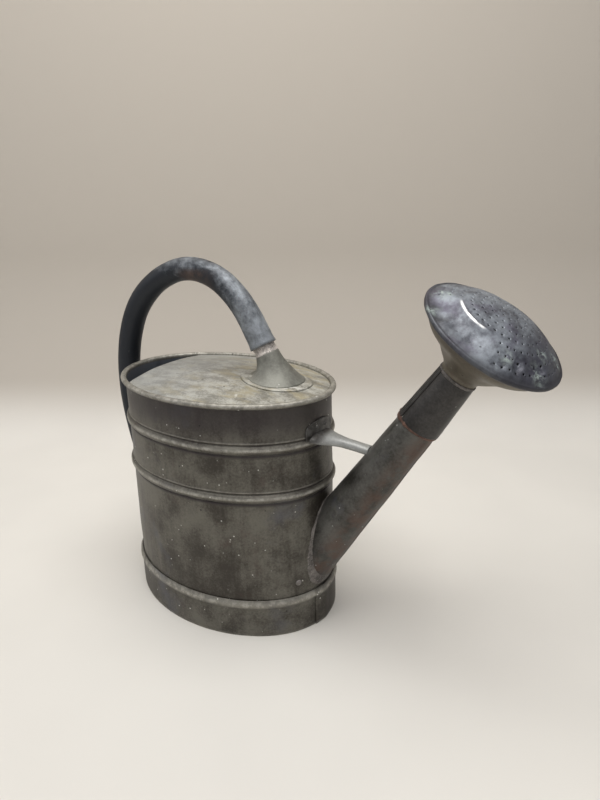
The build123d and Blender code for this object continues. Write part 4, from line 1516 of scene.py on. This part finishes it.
# ------------------------------------------------------------------ rose
class Rose:
    """The rose's sleeve, by distance along the spout, and its leaning head."""

    def __init__(self):
        self.sizes = bpy.context.scene.can_rose
        self.spout = Spout()
        self.sleeve_end = self.sizes.mouth + self.sizes.sleeve

    def sleeve_radius(self, along):
        """Outer radius of the sleeve at a distance from the wall."""
        return self.sizes.mouth_radius - self.sizes.sleeve_taper * (along - self.sizes.mouth)

    def head_frame(self, share):
        """Middle, across, side and outward directions at a share of the head's depth."""
        lean = self.sizes.head_lean * share
        middle = self.spout.root + SPOUT_DIR * (self.sleeve_end + self.sizes.head_depth * share)
        outward = SPOUT_DIR * cos(lean) - Vector((0, sin(lean), 0))
        side = outward.cross(SPOUT_UP)
        return middle, SPOUT_UP, side, outward


def make_sleeve():
    """The rose's sleeve with its folded seam standing up between two grooves."""
    rose = Rose()
    sizes = rose.sizes
    half_fold = sizes.fold_width / 2 / sizes.mouth_radius
    fold = -sizes.fold_angle
    turns = [2 * pi * column / 110 for column in range(110)]
    fine = [fold + half_fold * (step / 10 - 1) * 1.6 for step in range(21)]
    turns = [t for t in turns if abs((t - fold + pi) % (2 * pi) - pi) > half_fold * 1.65]
    turns = sorted([t % (2 * pi) for t in turns + fine])
    rings = []
    rows = 60
    for row in range(rows + 1):
        along = sizes.mouth + sizes.sleeve * row / rows
        ring = []
        for turn in turns:
            gap = abs((turn - fold + pi) % (2 * pi) - pi) / half_fold
            ridge = 1.25 * MM * smooth(1.06, 0.92, gap) - 0.5 * MM * bump_at(gap, 1.18, 0.22)
            crease = -0.6 * MM * bump_at(gap, 0.45, 0.24)
            spot = rose.spout.root + SPOUT_DIR * along + rose.spout.outward(turn) * rose.sleeve_radius(along)
            dent = 0.3 * MM * rough_noise(spot, 48.0, 14.0) + 0.08 * MM * rough_noise(spot, 170.0, 3.0)
            ring.append(spot + rose.spout.outward(turn) * (ridge + crease + dent * smooth(1.0, 2.2, gap)))
        rings.append(ring)
    return thicken(sheet_mesh("sleeve_tube", rings), sizes.sheet, offset=-1.0)


def make_mouth_ring():
    """The rusty ring at the sleeve's mouth, with lumps of solder beside the fold."""
    rose = Rose()
    sizes = rose.sizes
    fold = -sizes.fold_angle
    rings = []
    tube = 14
    for column in range(180):
        turn = 2 * pi * column / 180
        gap = abs((turn - fold + pi) % (2 * pi) - pi)
        lump = 1.5 * MM * bump_at(gap, radians(4), radians(19))
        lump += 0.7 * MM * bump_at(gap, radians(30), radians(9))
        wave = 0.7 * MM * rough_noise((cos(turn), sin(turn), 0.0), 1.7, 5.0)
        ring = []
        for step in range(tube):
            bend = 2 * pi * step / tube
            ragged = 1 + 0.22 * rough_noise((cos(turn), sin(turn), bend * 0.2), 9.0, 1.0)
            along = sizes.mouth - 1.2 * MM + wave + (1.7 * MM + lump * 1.2) * cos(bend) * ragged
            out = (0.95 * MM + lump) * sin(bend) * ragged
            spot = rose.spout.root + SPOUT_DIR * along
            radius = sizes.mouth_radius - 0.25 * MM + max(-0.5 * MM, out)
            ring.append(spot + rose.spout.outward(turn) * radius)
        rings.append(ring)
    rings.append([point.copy() for point in rings[0]])
    return sheet_mesh("mouth_bead", rings)


def make_neck_ring():
    """The thin run of solder where the cone leaves the sleeve."""
    rose = Rose()
    rings = []
    for column in range(150):
        turn = 2 * pi * column / 150
        ragged = 1 + 0.3 * rough_noise((cos(turn), sin(turn), 0.0), 6.0, 2.0)
        ring = []
        for step in range(12):
            bend = 2 * pi * step / 12
            along = rose.sleeve_end + 0.2 * MM + 1.5 * MM * cos(bend) * ragged
            radius = rose.sleeve_radius(rose.sleeve_end) + 0.55 * MM + 0.75 * MM * sin(bend) * ragged
            ring.append(rose.spout.root + SPOUT_DIR * along + rose.spout.outward(turn) * radius)
        rings.append(ring)
    rings.append([point.copy() for point in rings[0]])
    return sheet_mesh("cone_solder", rings)


def make_cone():
    """The flared cone behind the face, leaning to the side and a little buckled."""
    rose = Rose()
    sizes = rose.sizes
    start = rose.sleeve_radius(rose.sleeve_end)
    edge = sizes.head_radius - sizes.roll_radius - 0.3 * MM
    widths = ((0.0, 0.0), (0.12, 0.034), (0.28, 0.204), (0.48, 0.43), (0.72, 0.784), (1.0, 1.0))
    flare = [(depth, start + (edge - start) * width) for depth, width in widths]
    columns, rows = 160, 56
    rings = []
    for row in range(rows + 1):
        share = row / rows
        middle, across, side, _ = rose.head_frame(share)
        radius = blend_line(flare, share)
        ring = []
        for column in range(columns):
            turn = 2 * pi * column / columns
            away = across * cos(turn) + side * sin(turn)
            spot = middle + away * radius
            buckle = 0.7 * MM * rough_noise(spot, 32.0, 2.0) + 0.15 * MM * rough_noise(spot, 110.0, 6.0)
            ring.append(spot + away * buckle * smooth(0.0, 0.3, share) * smooth(1.0, 0.85, share))
        rings.append(ring)
    return thicken(sheet_mesh("flare_cone", rings), sizes.sheet, offset=-1.0)


# Dents of the face: middle (across, side), half sizes and slope in mm and degrees, then depth in mm
FACE_DENTS = (
    (-44.0, 24.0, 9.0, 8.0, 0.0, 4.5),
    (-30.0, 41.0, 10.0, 6.0, 110.0, 2.2),
    (-18.0, 52.0, 9.0, 5.0, 20.0, 1.6),
    (-52.0, 34.0, 6.0, 5.0, 60.0, 3.0),
    (40.0, 42.0, 12.0, 8.0, 40.0, 1.8),
    (10.0, -42.0, 22.0, 12.0, 0.0, 2.0),
)
# The sharp crease round the great dent: middle of its arc (across, side), then radius
CREASE_MIDDLE = (5.0 * MM, 2.5 * MM)
CREASE_RADIUS = 34.5 * MM
# The face's mesh is worked out at this scale, where its triangulation keeps more digits
FLAT_SCALE = 100
HOLE_CELL = 6 * MM


def beyond_crease(across, side):
    """How far a place on the face is outside the crease's arc, and how much of the dent reaches it."""
    away = hypot(across - CREASE_MIDDLE[0], side - CREASE_MIDDLE[1]) - CREASE_RADIUS
    turn = degrees(atan2(side - CREASE_MIDDLE[1], across - CREASE_MIDDLE[0]))
    return away, smooth(14, 34, turn) * smooth(112, 84, turn)


def face_height(across, side, sizes):
    """Height of the dented dome above the plane of the rim, in metres."""
    edge = sizes.head_radius
    radius = min(hypot(across, side), edge)
    height = sizes.dome_rise * (1 - (radius / edge) ** 2.3)
    away, share = beyond_crease(across, side)
    height -= 3.6 * MM * share * smooth(-0.4 * MM, 7.0 * MM, away) * smooth(26 * MM, 11 * MM, away)
    height += 0.6 * MM * share * bump_at(away, -0.6 * MM, 1.8 * MM)
    for middle_across, middle_side, half_long, half_wide, slope, depth in FACE_DENTS:
        gap_a = across / MM - middle_across
        gap_s = side / MM - middle_side
        tilt = radians(slope)
        long_gap = (gap_a * cos(tilt) + gap_s * sin(tilt)) / half_long
        wide_gap = (-gap_a * sin(tilt) + gap_s * cos(tilt)) / half_wide
        reach = hypot(long_gap, wide_gap)
        height -= depth * MM * (1 - smooth(0.15, 1.0, reach)) * smooth(edge, edge - 7 * MM, radius)
    place = (across, side, 0.0)
    rough = 0.35 * rough_noise(place, 45.0, 3.0) + 0.15 * rough_noise(place, 130.0, 8.0)
    crumple = smooth(-18 * MM, -36 * MM, across) * smooth(8 * MM, 24 * MM, side)
    rough += crumple * (1.1 * rough_noise(place, 120.0, 5.0) + 0.5 * rough_noise(place, 260.0, 1.0))
    waves = 0.9 * rough_noise(place, 70.0, 2.0) + 0.3 * rough_noise(place, 170.0, 6.0)
    rough += share * smooth(0.0, 8 * MM, away) * waves
    return height + rough * MM * smooth(edge, edge - 9 * MM, radius)


def hole_places(sizes):
    """Middles of the water holes, in concentric rings."""
    places = [(0.0, 0.0)]
    for ring in range(1, sizes.hole_rings + 1):
        count = ring * sizes.hole_step
        for index in range(count):
            turn = 2 * pi * (index + 0.5 * (ring % 2)) / count
            radius = ring * sizes.hole_pitch
            place = (radius * cos(turn), radius * sin(turn))
            away, share = beyond_crease(*place)
            if away < -1.5 * MM or share < 0.1:
                places.append(place)
    return places


def hole_cell(across, side):
    """The square cell of a place on the face, for finding the holes near it."""
    return round(across / HOLE_CELL), round(side / HOLE_CELL)


def clear_of_holes(near, across, side, reach):
    """Whether a place on the face is further than a distance from every hole's middle."""
    cell_a, cell_s = hole_cell(across, side)
    cells = [(cell_a + step_a, cell_s + step_s) for step_a in (-1, 0, 1) for step_s in (-1, 0, 1)]
    close = [hole for cell in cells for hole in near.get(cell, [])]
    return all(hypot(across - a, side - s) > reach for a, s in close)


def make_face():
    """The perforated face: a dented dome with real holes, its edge rolled round the cone."""
    rose = Rose()
    sizes = rose.sizes
    middle, across_dir, side_dir, outward = rose.head_frame(1.0)
    border_steps = 240
    border = sizes.head_radius - 5.5 * MM
    flat, edges = [], []
    for index in range(border_steps):
        turn = 2 * pi * index / border_steps
        flat.append(Vector((border * cos(turn), border * sin(turn))))
        edges.append((index, (index + 1) % border_steps))
    holes = hole_places(sizes)
    for hole_a, hole_s in holes:
        first = len(flat)
        for step in range(10):
            turn = 2 * pi * step / 10
            edge = Vector((sizes.hole_radius * cos(turn), sizes.hole_radius * sin(turn)))
            flat.append(Vector((hole_a, hole_s)) + edge)
            edges.append((first + step, first + (step + 1) % 10))
    pitch = 1.15 * MM
    clear = sizes.hole_radius + 0.7 * MM
    count = int(border / pitch) + 1
    draw = random.Random(11)
    near = {}
    for hole in holes:
        near.setdefault(hole_cell(*hole), []).append(hole)
    for row in range(-count, count + 1):
        for column in range(-count, count + 1):
            across = (column + 0.5 * (row % 2) + draw.uniform(-0.12, 0.12)) * pitch
            side = (row * 0.866 + draw.uniform(-0.12, 0.12)) * pitch
            if hypot(across, side) > border - 0.9 * MM:
                continue
            if clear_of_holes(near, across, side, clear):
                flat.append(Vector((across, side)))
    scaled = [point * FLAT_SCALE for point in flat]
    points, _, faces, _, _, _ = geometry.delaunay_2d_cdt(scaled, edges, [], 0, 1e-6)
    kept = []
    for face in faces:
        centre = sum((points[index] for index in face), Vector((0, 0))) / len(face) / FLAT_SCALE
        if centre.length < border and clear_of_holes(near, centre.x, centre.y, sizes.hole_radius * 0.97):
            kept.append(tuple(face))

    def lift(across, side, height):
        return middle + across_dir * across + side_dir * side + outward * height

    solid = []
    for point in points:
        across, side = point.x / FLAT_SCALE, point.y / FLAT_SCALE
        solid.append(lift(across, side, face_height(across, side, sizes)))
    rings = rim_rings(sizes, border, border_steps, lift)
    start = len(solid)
    for ring in rings:
        solid.extend(ring)
    by_turn = {}
    for index, point in enumerate(points):
        if abs(point.length / FLAT_SCALE - border) < 1e-6:
            turn = atan2(point.y, point.x)
            by_turn[round(turn / (2 * pi) * border_steps) % border_steps] = index
    for column in range(border_steps):
        step = (column + 1) % border_steps
        kept.append((by_turn[column], start + column, start + step, by_turn[step]))
        for row in range(len(rings) - 1):
            a = start + row * border_steps
            b = a + border_steps
            kept.append((a + column, b + column, b + step, a + step))
    return thicken(mesh_piece("rose_dome", solid, kept), sizes.sheet, offset=-1.0)


def rim_rings(sizes, border, steps, lift):
    """Rings from the dome's border round the rolled rim to the back of the cone."""
    edge = sizes.head_radius
    roll = sizes.roll_radius
    rings = []
    for radius in (border + 1.5 * MM, border + 2.8 * MM):
        ring = []
        for index in range(steps):
            turn = 2 * pi * index / steps
            across, side = radius * cos(turn), radius * sin(turn)
            ring.append(lift(across, side, face_height(across, side, sizes)))
        rings.append(ring)
    for index_bend in range(13):
        bend = radians(62 - 190 * index_bend / 12)
        ring = []
        for index in range(steps):
            turn = 2 * pi * index / steps
            wave = 1 + 0.10 * rough_noise((cos(turn), sin(turn), 0.0), 5.0, 4.0)
            radius = edge - roll + roll * cos(bend) * wave
            height = roll * sin(bend) * wave + 0.35 * MM * rough_noise((cos(turn), sin(turn), 0.0), 3.0, 7.0)
            ring.append(lift(radius * cos(turn), radius * sin(turn), height))
        rings.append(ring)
    return rings


# Patches of verdigris on the face: across, side and reach, in mm
GREEN_SPOTS = (
    (52, 12, 12), (48, 38, 8), (-46, 28, 13), (-40, 10, 9), (-20, 44, 8), (20, -40, 16), (-52, -10, 12),
)


def rose_patina(sizes):
    """Blue-violet patina of the face with pale verdigris, a painted white highlight along the crease and dark
    hollows.
    """
    rose = Rose()
    middle, across_dir, side_dir, outward = rose.head_frame(1.0)
    shader = Shader("rose_patina")

    def measured(direction):
        return shader.dot(shader.place, tuple(direction)) - middle.dot(direction)

    across, side, height = measured(across_dir), measured(side_dir), measured(outward)
    cloud = shader.noise(42.0, 6.0, 0.65, seed=101.0)
    grain = shader.noise(420.0, 4.0, 0.7, seed=102.0)
    brush = shader.noise(260.0, 3.0, 0.6, place=shader.stretched(1.0, 0.35, 1.0), seed=103.0)
    sheen = (cloud * 0.6 + brush * 0.25 + grain * 0.15).above(0.34, 0.64)
    paint = shader.mix(sheen, sizes.face_dark, sizes.face_light)
    violet = shader.noise(30.0, 4.0, 0.6, seed=104.0).above(0.5, 0.68)
    paint = shader.mix(violet * 0.55, paint, (0.115, 0.095, 0.15))
    low_right = across.below(-38 * MM, -16 * MM)
    paint = shader.mix(low_right * 0.65, paint, sizes.face_dark)
    # Painted highlight: a near-white line along the arc of the crease.
    crease_a, crease_s = across - CREASE_MIDDLE[0], side - CREASE_MIDDLE[1]
    away = (crease_a * crease_a + crease_s * crease_s) ** 0.5 - CREASE_RADIUS
    crease = away.near(0.0, 1.3 * MM) * crease_a.above(0.0, 6 * MM) * crease_s.above(13 * MM, 19 * MM)
    crease = crease * shader.noise(70.0, 2.0, 0.5, seed=108.0).above(0.30, 0.45)
    paint = shader.mix(crease.clamped(), paint, (0.95, 0.95, 0.93))
    rim = height.below(1.0 * MM, 6.0 * MM)
    paint = shader.mix(rim * 0.7, paint, (0.028, 0.026, 0.030))
    green = None
    for spot_a, spot_s, reach in GREEN_SPOTS:
        here = across.near(spot_a * MM, reach * MM) * side.near(spot_s * MM, reach * MM)
        green = here if green is None else green + here
    mottled = shader.noise(160.0, 5.0, 0.75, seed=105.0).above(0.44, 0.62)
    green = (green * mottled * 1.1).clamped()
    scattered = shader.noise(110.0, 5.0, 0.8, seed=106.0).above(0.62, 0.72) * 0.45
    green = (green + scattered).clamped()
    paint = shader.mix(green * 0.85, paint, sizes.verdigris)
    pits = shader.specks(210.0, 0.24, 0.12, seed=107.0)
    paint = shader.mix(pits * 0.7, paint, (0.012, 0.012, 0.014))
    rough = (0.44 + (cloud - 0.5) * 0.3 + green * 0.3 + grain * 0.12).clamped()
    metallic = (0.5 - green * 0.4).clamped()
    bump = cloud * 0.4 + grain * 0.3 + green * 0.4 - pits * 0.8
    return shader.finish(paint, rough, metallic, bump, bump_depth=0.28, bump_reach=0.0005)


class CAN_OT_rose(bpy.types.Operator):
    """Makes the rose: sleeve, rings, flared cone and perforated face"""

    bl_idname = "can.make_rose"
    bl_label = "Rose"

    def execute(self, context):
        sizes = context.scene.can_rose
        sleeve = weathered_zinc(
            "sleeve_zinc", sizes.sleeve_light, sizes.sleeve_dark, sizes.sleeve_light, sizes.sleeve_dark,
            streak=0.2, lime=0.35, metal=0.45, gloss=0.40, seed=111.0,
        )
        cone = weathered_zinc(
            "cone_zinc", sizes.cone_light, sizes.cone_dark, sizes.cone_light, sizes.ring_rust,
            streak=0.2, lime=0.4, metal=0.35, gloss=0.45, seed=121.0,
        )
        place_piece(make_sleeve(), "rose", "sleeve_zinc", sleeve, "rose_sleeve")
        rust = neck_zinc("mouth_rust", sizes.ring_rust, 131.0, shine=0.5)
        place_piece(make_mouth_ring(), "rose", "rust_ring", rust, "rose_mouth_ring")
        solder = tuple(c * 0.4 for c in context.scene.can_spout.solder)
        seam = neck_zinc("cone_solder", solder, 134.0)
        place_piece(make_neck_ring(), "rose", "solder", seam, "rose_neck_ring")
        place_piece(make_cone(), "rose", "cone_zinc", cone, "rose_cone")
        place_piece(make_face(), "rose", "rose_patina", rose_patina(sizes), "rose_face")
        return {"FINISHED"}


# ------------------------------------------------------------------ stage
def soft_light(name, place, aim, size, power, tint=(1.0, 0.98, 0.95)):
    """A large soft area light that points at a place."""
    light = bpy.data.lights.new(name, "AREA")
    light.shape = "RECTANGLE"
    light.size, light.size_y = size
    light.energy = power
    light.color = tint
    lamp = bpy.data.objects.new(name, light)
    bpy.context.scene.collection.objects.link(lamp)
    lamp.location = place
    lamp.rotation_euler = (Vector(aim) - Vector(place)).to_track_quat("-Z", "Y").to_euler()
    return lamp


def make_camera(sizes):
    """The camera, aimed at a point beside the can's middle."""
    turn, lift = sizes.azimuth, sizes.elevation
    right = Vector((cos(turn), sin(turn), 0))
    forward = Vector((-sin(turn) * cos(lift), cos(turn) * cos(lift), -sin(lift)))
    over = right.cross(forward)
    place = right * sizes.side + UP * sizes.aim_height - forward * sizes.distance
    rolled_right = right * cos(sizes.roll) + over * sin(sizes.roll)
    rolled_over = -right * sin(sizes.roll) + over * cos(sizes.roll)
    data = bpy.data.cameras.new("camera")
    data.lens = sizes.lens
    data.sensor_width = 36.0
    data.clip_start = 0.01
    camera = bpy.data.objects.new("camera", data)
    bpy.context.scene.collection.objects.link(camera)
    columns = Matrix((rolled_right, rolled_over, -forward)).transposed().to_4x4()
    camera.matrix_world = Matrix.Translation(place) @ columns
    bpy.context.scene.camera = camera


def make_floor(sizes):
    """A pale cloth floor that sweeps up behind the can."""
    rings = []
    steps = 40
    back, bend, top = 0.55, 0.35, 2.2
    turn = sizes.azimuth
    away = Vector((-sin(turn), cos(turn), 0))
    across = Vector((cos(turn), sin(turn), 0))
    profile = [(-2.5, 0.0), (-1.0, 0.0), (0.0, 0.0), (back - bend * 0.5, 0.0)]
    for step in range(1, steps + 1):
        sweep = pi / 2 * step / steps
        profile.append((back - bend * 0.5 + bend * sin(sweep), bend * (1 - cos(sweep))))
    profile.append((back + bend * 0.5, top))
    for along, height in profile:
        ring = [across * side + away * along + UP * (height - 0.0002) for side in (-3.0, -1.0, 0.0, 1.0, 3.0)]
        rings.append(ring)
    floor = sheet_mesh("pale_floor", rings, closed=False)
    shader = Shader("pale_cloth")
    cloud = shader.noise(3.0, 3.0, 0.5, seed=201.0)
    weave = shader.noise(900.0, 2.0, 0.5, seed=202.0)
    darker = tuple(c * 0.93 for c in sizes.floor)
    paint = shader.mix(cloud.above(0.3, 0.7), darker, sizes.floor)
    paint = shader.mix(shader.z.above(-10 * MM, 90 * MM), paint, sizes.wall)
    material = shader.finish(paint, 0.9, 0.0, weave, bump_depth=0.15, bump_reach=0.0004)
    floor.data.materials.append(material)
    floor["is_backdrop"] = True


class CAN_OT_stage(bpy.types.Operator):
    """Makes the camera, the pale floor and the soft lights"""

    bl_idname = "can.make_stage"
    bl_label = "Stage"

    def execute(self, context):
        sizes = context.scene.can_stage
        make_camera(sizes)
        make_floor(sizes)
        aim = (0.05, 0.0, 0.2)
        soft_light("overhead_light", (0.10, -0.15, 1.6), aim, (1.3, 1.0), 20.5)
        soft_light("left_light", (-1.5, -0.9, 1.1), aim, (1.0, 1.0), 4.6, (1.0, 0.99, 0.98))
        soft_light("front_light", (1.3, -1.7, 1.1), aim, (1.6, 1.0), 4.4)
        world = bpy.data.worlds.new("room")
        world.use_nodes = True
        world.node_tree.nodes["Background"].inputs["Color"].default_value = (0.93, 0.94, 1.0, 1.0)
        world.node_tree.nodes["Background"].inputs["Strength"].default_value = 0.38
        context.scene.world = world
        context.scene.view_settings.view_transform = "Standard"
        return {"FINISHED"}


# ------------------------------------------------------------------ panel and registration
GROUPS = (
    ("can_body", BodySettings),
    ("can_deck", DeckSettings),
    ("can_handle", HandleSettings),
    ("can_spout", SpoutSettings),
    ("can_rose", RoseSettings),
    ("can_stage", StageSettings),
)
OPERATORS = (
    (CAN_OT_body, "can_body"),
    (CAN_OT_foot, "can_body"),
    (CAN_OT_deck, "can_deck"),
    (CAN_OT_handle, "can_handle"),
    (CAN_OT_spout, "can_spout"),
    (CAN_OT_strut, "can_spout"),
    (CAN_OT_rose, "can_rose"),
    (CAN_OT_stage, "can_stage"),
)


class CAN_PT_panel(bpy.types.Panel):
    """Lists each piece's operator with its settings"""

    bl_idname = "CAN_PT_panel"
    bl_label = "Watering Can"
    bl_space_type = "VIEW_3D"
    bl_region_type = "UI"
    bl_category = "Watering Can"

    def draw(self, context):
        for operator, group in OPERATORS:
            box = self.layout.box()
            box.operator(operator.bl_idname)
            settings = getattr(context.scene, group)
            for name in settings.bl_rna.properties.keys():
                if name not in ("rna_type", "name"):
                    box.prop(settings, name)


def register():
    for name, group in GROUPS:
        bpy.utils.register_class(group)
        setattr(bpy.types.Scene, name, bpy.props.PointerProperty(type=group))
    for operator, _ in OPERATORS:
        bpy.utils.register_class(operator)
    bpy.utils.register_class(CAN_PT_panel)


def unregister():
    bpy.utils.unregister_class(CAN_PT_panel)
    for operator, _ in reversed(OPERATORS):
        bpy.utils.unregister_class(operator)
    for name, group in reversed(GROUPS):
        delattr(bpy.types.Scene, name)
        bpy.utils.unregister_class(group)


def main():
    """Registers the add-on, makes every piece in order and works out the two boxes."""
    register()
    bpy.ops.can.make_stage()
    bpy.ops.can.make_body()
    bpy.ops.can.make_foot()
    bpy.ops.can.make_deck()
    bpy.ops.can.make_handle()
    bpy.ops.can.make_spout()
    bpy.ops.can.make_strut()
    bpy.ops.can.make_rose()
    boxes = {"cad": frame_bounds, "visual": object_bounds()}
    {key: [list(corner) for corner in box] for key, box in boxes.items()}


if __name__ == "__main__":
    main()
